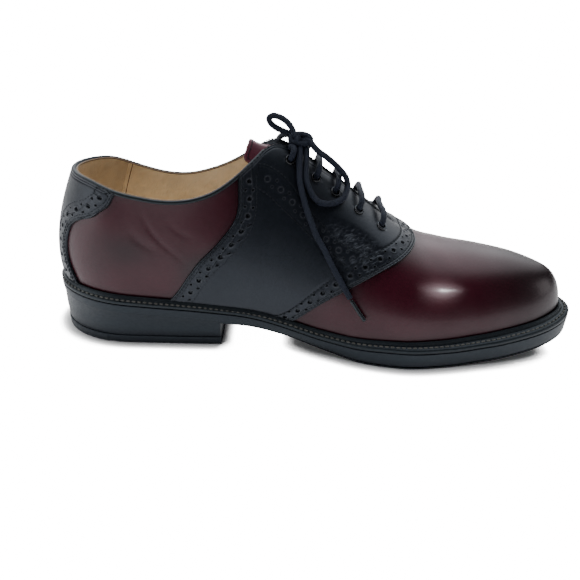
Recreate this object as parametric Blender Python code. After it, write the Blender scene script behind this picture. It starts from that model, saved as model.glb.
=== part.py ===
# Left saddle shoe: a moulded sole with a stitched welt, a hollow leather upper with its
# saddle and counter laid over it, tongue, insole, eyelets and a tied round lace.
# Metres, +Z up, toe along +X, inner (medial) side along -Y, origin on the ground at the
# middle of the heel's tread.
import math

import bmesh
import bpy
import numpy as np

# Driving sizes of the sole
sole_length = 0.3055
ball_width = 0.107
heel_length = 0.0975
heel_height = 0.0148
heel_taper = 0.0006
toplift_thickness = 0.0050
toe_spring = 0.0108
toe_swing = 0.0105
edge_thickness = 0.0065
tread_thickness = 0.0035
groove_depth = 0.0009
groove_height = 0.0008
edge_chamfer = 0.0008
waist_bevel = 0.0030
groove_low = 0.0009

# Driving sizes of the welt
welt_thickness = 0.0024
welt_ledge = 0.0058
welt_rise = 0.0030
welt_rib = 0.0019
welt_crest = 0.0008
welt_round = 0.0006

# Driving sizes of the upper, as heights above the ground and widths across
instep_height = 0.1120
collar_width = 0.0605
upper_wall = 0.0018
overlay_thickness = 0.0013
insole_thickness = 0.0030
tongue_thickness = 0.0022
overlay_foot = 0.0015

# Driving sizes of the fittings and the lace
eyelet_radius = 0.0028
eyelet_hole = 0.0016
eyelet_height = 0.0009
lace_diameter = 0.0028
lace_clearance = 0.0012
knot_length = 0.0098
knot_width = 0.0084
knot_height = 0.0098
knot_offset = 0.0034
aglet_diameter = 0.0023

# Clearance between pieces that touch on the real shoe, level and against a slope
gap = 0.0003
slope_gap = 1.3 * gap

# Grid sizes
back_stations = 22
front_stations = 11
upper_levels = 13
heel_stations = 12
insole_stations = 26
tongue_stations = 10
eyelet_segments = 12
knot_segments = 12

heel_back = -heel_length / 2
toe_tip = heel_back + sole_length
heel_round = 0.146
toe_round = 0.179
flat_start = 0.600
flat_end = 0.730
spring_power = 1.8
swing_start = 0.62
tread_start = 0.46
tread_end = 0.66
waist_start = 0.26
waist_end = 0.56
groove_start = 0.42
groove_end = 0.60
groove_faint = 0.15
groove_tread = 0.75
side_taper = 0.60

# Outsole plan: share of the sole's length from the back, inner and outer half-widths as
# shares of half the ball width, before the heel and toe are rounded off
plan_rows = (
    # share, inner, outer
    (0.000, 0.645, 0.645),
    (0.160, 0.638, 0.645),
    (0.300, 0.625, 0.632),
    (0.380, 0.605, 0.660),
    (0.450, 0.655, 0.745),
    (0.520, 0.765, 0.865),
    (0.600, 0.915, 0.985),
    (0.670, 0.972, 1.025),
    (0.750, 0.895, 0.970),
    (0.820, 0.780, 0.900),
    (0.880, 0.700, 0.840),
    (0.940, 0.655, 0.760),
    (1.000, 0.610, 0.700),
)

# Underside behind the flat of the forefoot: share of length, height as a share of heel_height
arch_rows = (
    # share, height
    (0.000, 1.520),
    (0.160, 1.255),
    (0.318, 1.000),
    (0.388, 0.785),
    (0.427, 0.605),
    (0.466, 0.415),
    (0.502, 0.245),
    (0.541, 0.105),
    (0.570, 0.030),
    (0.600, 0.000),
)

# Upper sections: share of length, ledge of the welt as a share of welt_ledge, then the control
# points between feather and top, outward as shares of the feather's half-width and upward as
# shares of the section's height
section_rows = (
    # share, ledge, belly out, belly up, side out, side up, shoulder out, shoulder up
    (0.000, 0.62, 1.060, 0.22, 1.060, 0.50, 0.960, 0.80),
    (0.150, 0.62, 1.080, 0.22, 1.080, 0.50, 0.975, 0.80),
    (0.300, 0.55, 1.110, 0.22, 1.080, 0.50, 0.930, 0.80),
    (0.370, 0.45, 1.120, 0.21, 1.020, 0.52, 0.740, 0.84),
    (0.420, 0.50, 1.110, 0.21, 0.960, 0.55, 0.520, 0.93),
    (0.500, 0.70, 1.090, 0.22, 0.900, 0.60, 0.430, 0.96),
    (0.600, 0.92, 1.080, 0.24, 0.920, 0.70, 0.420, 0.98),
    (0.680, 0.97, 1.070, 0.27, 0.950, 0.82, 0.420, 1.00),
    (0.800, 1.00, 1.060, 0.30, 0.960, 0.90, 0.440, 1.00),
    (0.900, 1.00, 1.050, 0.33, 0.960, 0.94, 0.480, 1.00),
    (1.000, 1.00, 1.040, 0.36, 0.950, 0.95, 0.500, 1.00),
)

# Top line and ridge: share along the top, half opening as a share of half the collar's width,
# heights above the ground as shares of instep_height
top_rows = (
    # share, opening, inner height, outer height
    (0.000, 1.000, 0.861, 0.861),
    (0.050, 1.000, 0.850, 0.846),
    (0.107, 0.995, 0.812, 0.792),
    (0.150, 0.990, 0.791, 0.763),
    (0.190, 1.000, 0.778, 0.750),
    (0.228, 0.995, 0.777, 0.755),
    (0.266, 0.950, 0.789, 0.780),
    (0.303, 0.860, 0.818, 0.818),
    (0.341, 0.700, 0.873, 0.873),
    (0.376, 0.480, 0.940, 0.936),
    (0.403, 0.250, 0.988, 0.984),
    (0.419, 0.160, 1.000, 0.998),
    (0.442, 0.125, 0.986, 0.986),
    (0.494, 0.105, 0.912, 0.912),
    (0.577, 0.065, 0.777, 0.777),
    (0.625, 0.040, 0.692, 0.692),
    (0.680, 0.012, 0.605, 0.605),
    (0.719, 0.000, 0.551, 0.551),
    (0.786, 0.000, 0.512, 0.512),
    (0.876, 0.000, 0.489, 0.489),
    (0.944, 0.000, 0.468, 0.468),
    (1.000, 0.000, 0.430, 0.430),
)
throat_end = 0.683

# Ends of the upper between feather and top: how far each control point stands in front of the
# heel's back and behind the toe's tip, as shares of the sole's length
end_rows = (
    # heel, toe
    (0.0137, 0.0235),
    (0.0010, 0.0190),
    (0.0040, 0.0310),
    (0.0340, 0.0540),
    (0.0525, 0.0780),
)

# Saddle: level on the upper, then the shares along it of the rear and front edges
saddle_rows = (
    # level, rear, front
    (0.000, 0.214, 0.440),
    (0.060, 0.222, 0.462),
    (0.200, 0.246, 0.508),
    (0.350, 0.268, 0.569),
    (0.475, 0.291, 0.623),
    (0.580, 0.323, 0.664),
    (0.680, 0.350, 0.691),
    (0.760, 0.354, 0.706),
    (0.870, 0.351, 0.722),
    (1.000, 0.347, 0.733),
)

# Counter: level on the upper and the share of its front edge
counter_rows = (
    # level, front
    (0.000, 0.0600),
    (0.060, 0.0500),
    (0.180, 0.0405),
    (0.300, 0.0325),
    (0.420, 0.0297),
    (0.520, 0.0330),
    (0.595, 0.0400),
    (0.655, 0.0555),
    (0.705, 0.0752),
    (0.780, 0.0906),
    (0.850, 0.1030),
    (0.920, 0.1070),
    (1.000, 0.1117),
)

# Eyelets of each side: share along the upper and level on it
eyelet_rows = (
    # share, level
    (0.451, 0.880),
    (0.503, 0.858),
    (0.543, 0.837),
    (0.591, 0.812),
    (0.638, 0.790),
)

# Free top of the tongue past the facings: share of its length, then lift as a share of it
tongue_free = 0.0190
tongue_free_rows = (
    # run, lift
    (0.00, 0.00),
    (0.33, 0.03),
    (0.67, 0.10),
    (1.00, 0.23),
)
tongue_from = 0.436
tongue_to = 0.650
tongue_edge = 0.790
tongue_taper = 0.15
tongue_round = 0.22

# Lace bar: way from eyelet to ridge, and how much of the eyelet's height it still clears
bar_rows = (
    # way, clears
    (0.00, 1.0),
    (0.30, 1.0),
    (0.65, 0.0),
    (1.00, 0.0),
)

# Where the knot sits along the throat, and where the two top strands meet it, as shares of
# its half sizes
knot_share = 0.4735
strand_reach_inner = (-0.98, -0.68, -0.38)
strand_reach_outer = (-0.18, 1.10, -0.64)

# Cords of the bow: points of each route, in metres
near_loop_route = (
    (0.0977, -0.0064, 0.1139),
    (0.1009, -0.0080, 0.1108),
    (0.1054, -0.0087, 0.1079),
    (0.1102, -0.0087, 0.1042),
    (0.1143, -0.0087, 0.1004),
    (0.1174, -0.0093, 0.0967),
    (0.1186, -0.0102, 0.0930),
    (0.1180, -0.0130, 0.0902),
    (0.1162, -0.0166, 0.0873),
    (0.1122, -0.0195, 0.0857),
    (0.1071, -0.0211, 0.0852),
    (0.1026, -0.0212, 0.0863),
    (0.0995, -0.0201, 0.0891),
    (0.0973, -0.0186, 0.0925),
    (0.0956, -0.0165, 0.0966),
    (0.0953, -0.0135, 0.1014),
    (0.0953, -0.0108, 0.1053),
    (0.0954, -0.0088, 0.1083),
    (0.0956, -0.0073, 0.1100),
)
near_end_route = (
    (0.0918, -0.0075, 0.1112),
    (0.0918, -0.0100, 0.1088),
    (0.0916, -0.0124, 0.1055),
    (0.0918, -0.0145, 0.1017),
    (0.0921, -0.0173, 0.0968),
    (0.0932, -0.0197, 0.0921),
    (0.0949, -0.0221, 0.0868),
    (0.0967, -0.0243, 0.0817),
    (0.0990, -0.0265, 0.0763),
    (0.1021, -0.0292, 0.0698),
    (0.1066, -0.0323, 0.0629),
    (0.1110, -0.0356, 0.0553),
    (0.1163, -0.0393, 0.0472),
    (0.1218, -0.0424, 0.0387),
)
near_aglet_route = (
    (0.1220, -0.0425, 0.0384),
    (0.1262, -0.0440, 0.0325),
    (0.1304, -0.0456, 0.0270),
)
far_loop_route = (
    (0.0907, -0.0009, 0.1182),
    (0.0895, 0.0012, 0.1204),
    (0.0875, 0.0034, 0.1224),
    (0.0850, 0.0050, 0.1238),
    (0.0812, 0.0070, 0.1244),
    (0.0775, 0.0084, 0.1246),
    (0.0748, 0.0092, 0.1238),
    (0.0745, 0.0089, 0.1222),
    (0.0765, 0.0074, 0.1200),
    (0.0800, 0.0051, 0.1182),
    (0.0845, 0.0020, 0.1169),
    (0.0883, -0.0017, 0.1162),
)
far_end_route = (
    (0.0891, -0.0002, 0.1126),
    (0.0873, 0.0035, 0.1135),
    (0.0845, 0.0064, 0.1140),
    (0.0818, 0.0094, 0.1128),
    (0.0808, 0.0126, 0.1103),
    (0.0800, 0.0160, 0.1064),
    (0.0785, 0.0197, 0.1006),
    (0.0782, 0.0239, 0.0929),
    (0.0806, 0.0285, 0.0822),
    (0.0832, 0.0329, 0.0701),
    (0.0872, 0.0362, 0.0596),
)
far_aglet_route = (
    (0.0873, 0.0363, 0.0592),
    (0.0895, 0.0378, 0.0539),
    (0.0916, 0.0393, 0.0485),
)


def smooth_rows(rows, column, share):
    """Curve through a table's column: cubic pieces whose slopes come from the neighbours."""
    table = np.array(rows)
    knots = table[:, 0]
    values = table[:, column]
    steps = np.diff(knots)
    slopes = np.diff(values) / steps
    tangents = np.empty_like(values)
    tangents[1:-1] = (slopes[:-1] * steps[1:] + slopes[1:] * steps[:-1]) / (steps[:-1] + steps[1:])
    tangents[0] = slopes[0]
    tangents[-1] = slopes[-1]
    share = np.clip(share, knots[0], knots[-1])
    index = np.clip(np.searchsorted(knots, share, side="right") - 1, 0, len(steps) - 1)
    width = steps[index]
    t = (share - knots[index]) / width
    return (
        values[index] * (1 + 2 * t) * (1 - t) ** 2
        + tangents[index] * width * t * (1 - t) ** 2
        + values[index + 1] * (3 - 2 * t) * t ** 2
        + tangents[index + 1] * width * (t - 1) * t ** 2
    )


def smooth_step(share, start, end):
    t = np.clip((share - start) / (end - start), 0.0, 1.0)
    return t * t * (3 - 2 * t)


def end_factor(share):
    """Elliptic rounding of heel and toe, 0 at both tips and 1 between them."""
    heel = 1 - np.minimum(share / heel_round, 1.0)
    toe = 1 - np.minimum((1 - share) / toe_round, 1.0)
    return np.sqrt(np.clip((1 - heel ** 2) * (1 - toe ** 2), 0.0, 1.0))


def swing(share):
    """Centre line: straight behind the ball, then bent towards the inner side."""
    return -toe_swing * np.clip((share - swing_start) / (1 - swing_start), 0.0, 1.0) ** 2


def underside(share):
    arch = heel_height * smooth_rows(arch_rows, 1, share)
    toe = toe_spring * np.clip((share - flat_end) / (1 - flat_end), 0.0, 1.0) ** spring_power
    return np.where(share < flat_start, arch, toe)


def tread(share):
    return tread_thickness * smooth_step(share, tread_start, tread_end)


def sole_top(share):
    return underside(share) + edge_thickness + tread(share)


def half_width(share, side):
    column = np.where(side < 0, smooth_rows(plan_rows, 1, share), smooth_rows(plan_rows, 2, share))
    return column * ball_width / 2


def station_share(turn):
    """Stations crowd towards both tips: turn 0 is the heel's back and 1 the toe's tip."""
    return (1 - np.cos(math.pi * turn)) / 2


def outline(turn, side, inset):
    """Plan of the sole, drawn in by inset; gives x and y."""
    share = station_share(turn)
    x = heel_back + inset + (sole_length - 2 * inset) * share
    y = swing(share) + side * (half_width(share, side) - inset) * end_factor(share)
    return x, y


def bezier(controls, t):
    """Curve of the fourth degree through five control values."""
    weights = (1, 4, 6, 4, 1)
    return sum(w * c * t ** k * (1 - t) ** (4 - k) for k, (w, c) in enumerate(zip(weights, controls)))


def top_height(share, side):
    column = np.where(side < 0, smooth_rows(top_rows, 2, share), smooth_rows(top_rows, 3, share))
    return column * instep_height


def opening(share):
    half = smooth_rows(top_rows, 1, share) * collar_width / 2
    return np.where(share >= throat_end, 0.0, half)


def feather(turn, side, inset):
    """Line where the upper meets the sole, drawn in by inset; gives x and y."""
    share = station_share(turn)
    rear = heel_back + end_rows[0][0] * sole_length + inset
    front = toe_tip - end_rows[0][1] * sole_length - inset
    foot = half_width(share, side) - welt_ledge * smooth_rows(section_rows, 1, share) - inset
    return rear + (front - rear) * share, swing(share) + side * foot * end_factor(share)


def upper_point(turn, level, side):
    """Outer skin of the upper: level 0 is the feather line and 1 the top line or ridge."""
    turn, level, side = np.broadcast_arrays(
        np.asarray(turn, float), np.asarray(level, float), np.asarray(side, float)
    )
    share = station_share(turn)
    ledge, belly, belly_up, middle, middle_up, shoulder, shoulder_up = (
        smooth_rows(section_rows, column, share) for column in range(1, 8)
    )
    foot = half_width(share, side) - welt_ledge * ledge
    out = bezier((foot, foot * belly, foot * middle, foot * shoulder, opening(share)), level)
    heels = [row[0] for row in end_rows]
    toes = [row[1] for row in end_rows]
    base = sole_top(heels[0] + (1 - toes[0] - heels[0]) * share) + gap
    rise = top_height(share, side) - base
    up = bezier((0.0, belly_up, middle_up, shoulder_up, 1.0), level)
    rear = bezier(heels, level)
    front = 1 - bezier(toes, level)
    x = heel_back + sole_length * (rear + (front - rear) * share)
    y = swing(share) + side * out * end_factor(share)
    z = base + rise * up
    return np.stack((x, y, z), axis=-1)


def level_at(turn, side, height):
    """Level at which the upper stands a given height above the outsole."""
    low = np.zeros_like(turn)
    high = np.full_like(turn, 0.5)
    base = sole_top(station_share(turn))
    for _ in range(24):
        middle = (low + high) / 2
        below = upper_point(turn, middle, side)[..., 2] - base < height
        low = np.where(below, middle, low)
        high = np.where(below, high, middle)
    return (low + high) / 2


def material(name, color, roughness, metallic=0.0):
    new = bpy.data.materials.new(name)
    new.use_nodes = True
    shader = new.node_tree.nodes["Principled BSDF"]
    shader.inputs["Base Color"].default_value = (*color, 1.0)
    shader.inputs["Roughness"].default_value = roughness
    shader.inputs["Metallic"].default_value = metallic
    return new


def add_mesh(name, points, faces, finish):
    """Object from points and faces, with its faces turned outward."""
    mesh = bpy.data.meshes.new(name)
    mesh.from_pydata([tuple(p) for p in points], [], [tuple(f) for f in faces])
    mesh.materials.append(finish)
    work = bmesh.new()
    work.from_mesh(mesh)
    bmesh.ops.recalc_face_normals(work, faces=work.faces)
    work.to_mesh(mesh)
    work.free()
    mesh.shade_smooth()
    mesh.set_sharp_from_angle(angle=math.radians(35))
    item = bpy.data.objects.new(name, mesh)
    bpy.context.scene.collection.objects.link(item)
    return item


def weld(points, faces):
    """Joins points that lie on each other and drops the corners that this removes."""
    keys = np.round(points * 1e7).astype(np.int64)
    _, first, which = np.unique(keys, axis=0, return_index=True, return_inverse=True)
    which = which.reshape(-1)
    welded = []
    for face in faces:
        corners = []
        for corner in which[list(face)]:
            if not corners or corner != corners[-1]:
                corners.append(int(corner))
        if corners[0] == corners[-1]:
            corners.pop()
        if len(corners) > 2:
            welded.append(corners)
    return first, welded


def grid_faces(rows, columns, start, flip):
    faces = []
    for i in range(rows - 1):
        for j in range(columns - 1):
            a = start + i * columns + j
            face = (a, a + columns, a + columns + 1, a + 1)
            faces.append(face[::-1] if flip else face)
    return faces


def skin(patches):
    """One welded skin from grids of points, one for each side of the shoe."""
    points = np.concatenate([patch.reshape(-1, 3) for patch, flip in patches])
    faces = []
    start = 0
    for patch, flip in patches:
        faces += grid_faces(patch.shape[0], patch.shape[1], start, flip)
        start += patch.shape[0] * patch.shape[1]
    first, faces = weld(points, faces)
    triangles = []
    for face in faces:
        triangles += [[face[0], face[k], face[k + 1]] for k in range(1, len(face) - 1)]
    return points[first], triangles


def normals(points, faces):
    """Outward directions at a skin's points, weighted by the faces around them."""
    sums = np.zeros_like(points)
    for face in faces:
        corners = points[face]
        centre = corners.mean(axis=0)
        around = np.roll(corners, -1, axis=0)
        area = np.cross(corners - centre, around - centre).sum(axis=0)
        sums[face] += area
    return sums / np.linalg.norm(sums, axis=1, keepdims=True)


def shell(name, points, faces, inner, outer, finish):
    """Closed wall between two offsets of one skin, with its rims walled over."""
    direction = normals(points, faces)
    count = len(points)
    both = np.concatenate((points + direction * outer, points + direction * inner))
    solid = [list(face) for face in faces]
    solid += [[count + corner for corner in reversed(face)] for face in faces]
    edges = {}
    for face in faces:
        for a, b in zip(face, face[1:] + face[:1]):
            edges[(a, b)] = True
    for a, b in edges:
        if (b, a) not in edges:
            solid.append([b, a, count + a, count + b])
    return add_mesh(name, both, solid, finish)


def ladder(name, rings, finish, closed_front=True):
    """Solid between level caps: rings run from top to bottom, each with its two sides."""
    count = len(rings[0][0])
    layers = len(rings)
    points = np.concatenate([np.concatenate(ring) for ring in rings])
    faces = []

    def place(layer, side, station):
        return (layer * 2 + side) * count + station

    for i in range(count - 1):
        for layer in range(layers - 1):
            faces.append([place(layer, 0, i), place(layer + 1, 0, i),
                          place(layer + 1, 0, i + 1), place(layer, 0, i + 1)])
            faces.append([place(layer, 1, i), place(layer, 1, i + 1),
                          place(layer + 1, 1, i + 1), place(layer + 1, 1, i)])
        faces.append([place(0, 0, i), place(0, 0, i + 1), place(0, 1, i + 1), place(0, 1, i)])
        low = layers - 1
        faces.append([place(low, 0, i), place(low, 1, i), place(low, 1, i + 1), place(low, 0, i + 1)])
    if not closed_front:
        last = count - 1
        for layer in range(layers - 1):
            faces.append([place(layer, 0, last), place(layer + 1, 0, last),
                          place(layer + 1, 1, last), place(layer, 1, last)])
    first, faces = weld(points, faces)
    return add_mesh(name, points[first], faces, finish)


def ring(turns, inset, height, plan=outline):
    """Both sides of a plan at one inset, with heights from a function."""
    sides = []
    for side in (-1.0, 1.0):
        x, y = plan(turns, side, inset)
        z = height((x - heel_back) / sole_length)
        sides.append(np.stack((x, y, z), axis=-1))
    return sides


def turn_at(share):
    return math.acos(1 - 2 * share) / math.pi


def sole_turns():
    """Stations of the sole, with one on each edge of the forefoot's flat."""
    stops = (0.0, turn_at(0.318), turn_at(flat_start), turn_at(flat_end), 1.0)
    counts = (11, 8, 4, 11)
    parts = [np.linspace(a, b, n, endpoint=False) for a, b, n in zip(stops, stops[1:], counts)]
    return np.append(np.concatenate(parts), 1.0)


def make_outsole(finish):
    turns = sole_turns()
    share = station_share(turns)
    across_waist = np.clip((share - waist_start) / (waist_end - waist_start), 0.0, 1.0)
    bottom_inset = edge_chamfer + waist_bevel * np.sin(math.pi * across_waist) ** 2
    deepening = smooth_step(share, groove_start, groove_end)
    groove = groove_depth * (groove_faint + (1 - groove_faint) * deepening)
    layer = groove_low + groove_tread * tread(share)
    side = side_taper * bottom_inset

    def under(extra):
        return lambda shares: underside(shares) + extra

    rings = [
        ring(turns, edge_chamfer * 2, sole_top),
        ring(turns, edge_chamfer, sole_top),
        ring(turns, 0.0, lambda shares: sole_top(shares) - edge_chamfer),
        ring(turns, side, under(layer + groove_height)),
        ring(turns, side + groove, under(layer + groove_height / 2)),
        ring(turns, side, under(layer)),
        ring(turns, bottom_inset, underside),
    ]
    return ladder("outsole", rings, finish)


def heel_turns():
    return np.linspace(0.0, turn_at(heel_length / sole_length), heel_stations)


def make_heel(finish):
    turns = heel_turns()
    top_inset = edge_chamfer
    low = toplift_thickness + gap
    rings = [
        ring(turns, top_inset, lambda shares: underside(shares) - gap),
        ring(turns, top_inset + heel_taper, lambda shares: low + 0 * shares),
    ]
    return ladder("heel_block", rings, finish, closed_front=False)


def make_toplift(finish):
    turns = heel_turns()
    inset = edge_chamfer + heel_taper
    rings = [
        ring(turns, inset, lambda shares: toplift_thickness + 0 * shares),
        ring(turns, inset + heel_taper / 4, lambda shares: edge_chamfer + 0 * shares),
        ring(turns, inset + heel_taper / 4 + edge_chamfer, lambda shares: 0 * shares),
    ]
    return ladder("toplift", rings, finish, closed_front=False)


def upper_turns():
    slit = turn_at(throat_end)
    back = np.linspace(0.0, slit, back_stations, endpoint=False)
    return np.append(back, np.linspace(slit, 1.0, front_stations))


def side_grid(turns, levels, side):
    return upper_point(turns[:, None], levels[None, :], side)


def make_upper(finish):
    turns = upper_turns()
    levels = np.linspace(0.0, 1.0, upper_levels)
    patches = [(side_grid(turns, levels, -1.0), False), (side_grid(turns, levels, 1.0), True)]
    points, faces = skin(patches)
    return shell("upper", points, faces, -upper_wall, 0.0, finish)


def make_welt(finish):
    """Band around the upper: flat below, edged outside, rising to a rib against the upper."""
    turns = upper_turns()
    loops = []
    for side in (-1.0, 1.0):
        profile = []
        foot = upper_point(turns, 0.0, side)
        crest_level = level_at(turns, side, welt_thickness + welt_rise)
        crest = upper_point(turns, crest_level, side)
        edge = ((0.0, 0.0), (welt_thickness - welt_round, 0.0), (welt_thickness, welt_round))
        for height, inset in edge:
            x, y = outline(turns, side, inset)
            base = sole_top((x - heel_back) / sole_length) + gap
            profile.append(np.stack((x, y, base + height), axis=-1))
        outer = profile[-1]
        base = foot[:, 2]
        toward = crest - outer
        away = np.hypot(toward[:, 0], toward[:, 1])
        flat = toward / away[:, None]
        flat[:, 2] = 0.0
        ledge_end = crest - flat * (gap + welt_rib)
        ledge_end[:, 2] = base + welt_thickness + welt_round
        profile.append(ledge_end)
        rib = crest - flat * (gap + welt_crest)
        rib[:, 2] = base + welt_thickness + welt_rise
        profile.append(rib)
        inner_top = crest - flat * slope_gap
        inner_top[:, 2] = base + welt_thickness + welt_rise - gap
        profile.append(inner_top)
        inner_low = foot - flat * slope_gap
        inner_low[:, 2] = base
        profile.append(inner_low)
        loops.append(np.stack(profile, axis=1))
    count, around = loops[0].shape[:2]
    points = np.concatenate([loop.reshape(-1, 3) for loop in loops])
    faces = []
    for which in (0, 1):
        for i in range(count - 1):
            for k in range(around):
                a = (which * count + i) * around + k
                b = (which * count + i) * around + (k + 1) % around
                face = [a, b, b + around, a + around]
                faces.append(face if which else face[::-1])
    first, faces = weld(points, faces)
    return add_mesh("welt", points[first], faces, finish)


def make_insole(finish):
    turns = np.linspace(0.0, 1.0, insole_stations)
    inset = upper_wall + 3 * gap
    rings = [
        ring(turns, inset, lambda shares: sole_top(shares) + gap + insole_thickness, feather),
        ring(turns, inset, lambda shares: sole_top(shares) + gap, feather),
    ]
    return ladder("insole", rings, finish)


def make_overlay(name, edge_rows, rear, front, reach, finish):
    """Leather laid on the upper: a shell parallel to it, kept inside a side-view outline.

    The outline's rear edge is carried back by reach, past the heel's seam where it has none."""
    turns = upper_turns()
    patches = []
    for side, flip in ((-1.0, False), (1.0, True)):
        levels = np.repeat(np.linspace(0.0, 1.0, upper_levels)[None, :], len(turns), axis=0)
        levels[:, 0] = level_at(turns, side, welt_thickness + welt_rise + overlay_foot)
        levels[:, 1] = np.maximum(levels[:, 1], (levels[:, 0] + levels[:, 2]) / 2)
        patches.append((upper_point(turns[:, None], levels, side), flip))
    points, faces = skin(patches)
    overlay = shell(name, points, faces, gap, gap + overlay_thickness, finish)
    levels = np.array([row[0] for row in edge_rows])
    edge = []
    for shares, order, back in ((rear(levels), 1, reach), (front(levels), -1, 0.0)):
        turns = np.arccos(1 - 2 * shares) / math.pi
        line = upper_point(turns, levels, -1.0)[:, (0, 2)] - (back, 0.0)
        above = line[-1:] + np.array([[0.0, instep_height]])
        edge.append(np.concatenate((line, above))[::order])
    outline_points = np.concatenate(edge)
    count = len(outline_points)
    points = np.zeros((2 * count, 3))
    for k, y in enumerate((-ball_width, ball_width)):
        points[k * count:(k + 1) * count, 0] = outline_points[:, 0]
        points[k * count:(k + 1) * count, 1] = y
        points[k * count:(k + 1) * count, 2] = outline_points[:, 1]
    faces = [list(range(count)), list(range(2 * count - 1, count - 1, -1))]
    for i in range(count):
        after = (i + 1) % count
        faces.append([i, count + i, count + after, after])
    cutter = add_mesh(name + "_outline", points, faces, finish)
    cutter.hide_render = True
    cutter.display_type = "WIRE"
    trim = overlay.modifiers.new("keep inside outline", "BOOLEAN")
    trim.operation = "INTERSECT"
    trim.solver = "EXACT"
    trim.object = cutter
    return overlay


def make_saddle(finish):
    def rear(levels):
        return smooth_rows(saddle_rows, 1, levels)

    def front(levels):
        return smooth_rows(saddle_rows, 2, levels)

    return make_overlay("saddle", saddle_rows, rear, front, 0.0, finish)


def make_counter(finish):
    def rear(levels):
        return 0.0 * levels

    def front(levels):
        return smooth_rows(counter_rows, 1, levels)

    return make_overlay("counter", counter_rows, rear, front, 4 * overlay_thickness, finish)


def make_tongue(finish):
    """Follows the facings from inside, then runs on free past their tops."""
    levels = np.linspace(0.0, 1.0, upper_levels)
    levels = np.insert(levels[levels > tongue_edge], 0, tongue_edge)
    turns = np.linspace(turn_at(tongue_from), turn_at(tongue_to), tongue_stations)
    inner = side_grid(turns, levels, -1.0)
    outer = side_grid(turns, levels[::-1], 1.0)
    under = np.concatenate((inner, outer), axis=1)
    across = np.linspace(-1.0, 1.0, under.shape[1])
    run = np.array([row[0] for row in tongue_free_rows[:0:-1]])
    lift = np.array([row[1] for row in tongue_free_rows[:0:-1]])
    free = np.repeat(under[:1], len(run), axis=0)
    free[:, :, 0] -= tongue_free * run[:, None] * (1 - tongue_round * across[None, :] ** 4)
    free[:, :, 1] *= 1 - tongue_taper * run[:, None]
    free[:, :, 2] += tongue_free * lift[:, None]
    grid = np.concatenate((free, under))
    points, faces = skin([(grid, False)])
    depth = upper_wall + 2 * gap
    return shell("tongue", points, faces, -depth - tongue_thickness, -depth, finish)


def upper_normal(turn, level, side):
    """Outward direction of the upper's skin at one place."""
    step = 0.004
    along = upper_point(turn + step, level, side) - upper_point(turn - step, level, side)
    high = min(level + step, 1.0)
    up = upper_point(turn, high, side) - upper_point(turn, high - 2 * step, side)
    direction = np.cross(along, up) * -side
    return direction / np.linalg.norm(direction)


def make_eyelet(number, share, level, side, finish):
    """Flat ring on the saddle, square to the upper at its place."""
    turn = turn_at(share)
    centre = upper_point(turn, level, side)
    axis = upper_normal(turn, level, side)
    first = np.cross(axis, (0.0, 0.0, 1.0))
    first /= np.linalg.norm(first)
    second = np.cross(axis, first)
    low = 2 * gap + overlay_thickness
    angles = np.linspace(0.0, 2 * math.pi, eyelet_segments, endpoint=False)
    loops = (
        (eyelet_hole, low),
        (eyelet_radius, low),
        (eyelet_radius - eyelet_height / 2, low + eyelet_height),
        (eyelet_hole + eyelet_height / 4, low + eyelet_height),
    )
    points = []
    for radius, height in loops:
        for angle in angles:
            points.append(centre + axis * height
                          + radius * (math.cos(angle) * first + math.sin(angle) * second))
    faces = []
    for k in range(len(loops)):
        for i in range(eyelet_segments):
            a = k * eyelet_segments + i
            b = k * eyelet_segments + (i + 1) % eyelet_segments
            c = (k + 1) % len(loops) * eyelet_segments
            faces.append([a, b, c + (i + 1) % eyelet_segments, c + i])
    label = "inner" if side < 0 else "outer"
    return add_mesh(f"eyelet_{label}_{number}", np.array(points), faces, finish)


def make_tube(name, points, diameter, finish):
    """Round cord along points, its ends closed."""
    curve = bpy.data.curves.new(name, "CURVE")
    curve.dimensions = "3D"
    curve.bevel_depth = diameter / 2
    curve.bevel_resolution = 2
    curve.use_fill_caps = True
    spline = curve.splines.new("POLY")
    spline.points.add(len(points) - 1)
    for knot, point in zip(spline.points, points):
        knot.co = (*point, 1.0)
    curve.materials.append(finish)
    item = bpy.data.objects.new(name, curve)
    bpy.context.scene.collection.objects.link(item)
    return item


def along_route(route, spacing):
    """Points a given distance apart on a smooth curve through a route's own points."""
    route = np.array(route)
    run = np.concatenate(((0.0,), np.cumsum(np.linalg.norm(np.diff(route, axis=0), axis=1))))
    rows = np.column_stack((run, route))
    at = np.linspace(0.0, run[-1], max(3, round(run[-1] / spacing) + 1))
    return np.column_stack([smooth_rows(rows, column, at) for column in (1, 2, 3)])


def bar_points(share, level, side):
    """Lace from above an eyelet to the ridge, clear of the eyelet and the facing."""
    turn = turn_at(share)
    points = []
    for way, clears in bar_rows:
        place = level + (1.0 - level) * way
        height = lace_clearance + overlay_thickness + lace_diameter / 2 + clears * eyelet_height
        points.append(upper_point(turn, place, side) + height * upper_normal(turn, place, side))
    return points


def make_lace_bar(number, share, level, finish):
    """Bar of lace from above one eyelet, over the throat, to above the other."""
    points = bar_points(share, level, -1.0) + bar_points(share, level, 1.0)[::-1]
    return make_tube(f"lace_bar_{number}", points, lace_diameter, finish)


def knot_centre():
    """The knot sits over the throat, clear of both facings."""
    ridge = upper_point(turn_at(knot_share), 1.0, -1.0)
    rise = overlay_thickness + lace_clearance + knot_height / 2
    return np.array((ridge[0], -knot_offset, ridge[2] + rise))


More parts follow.
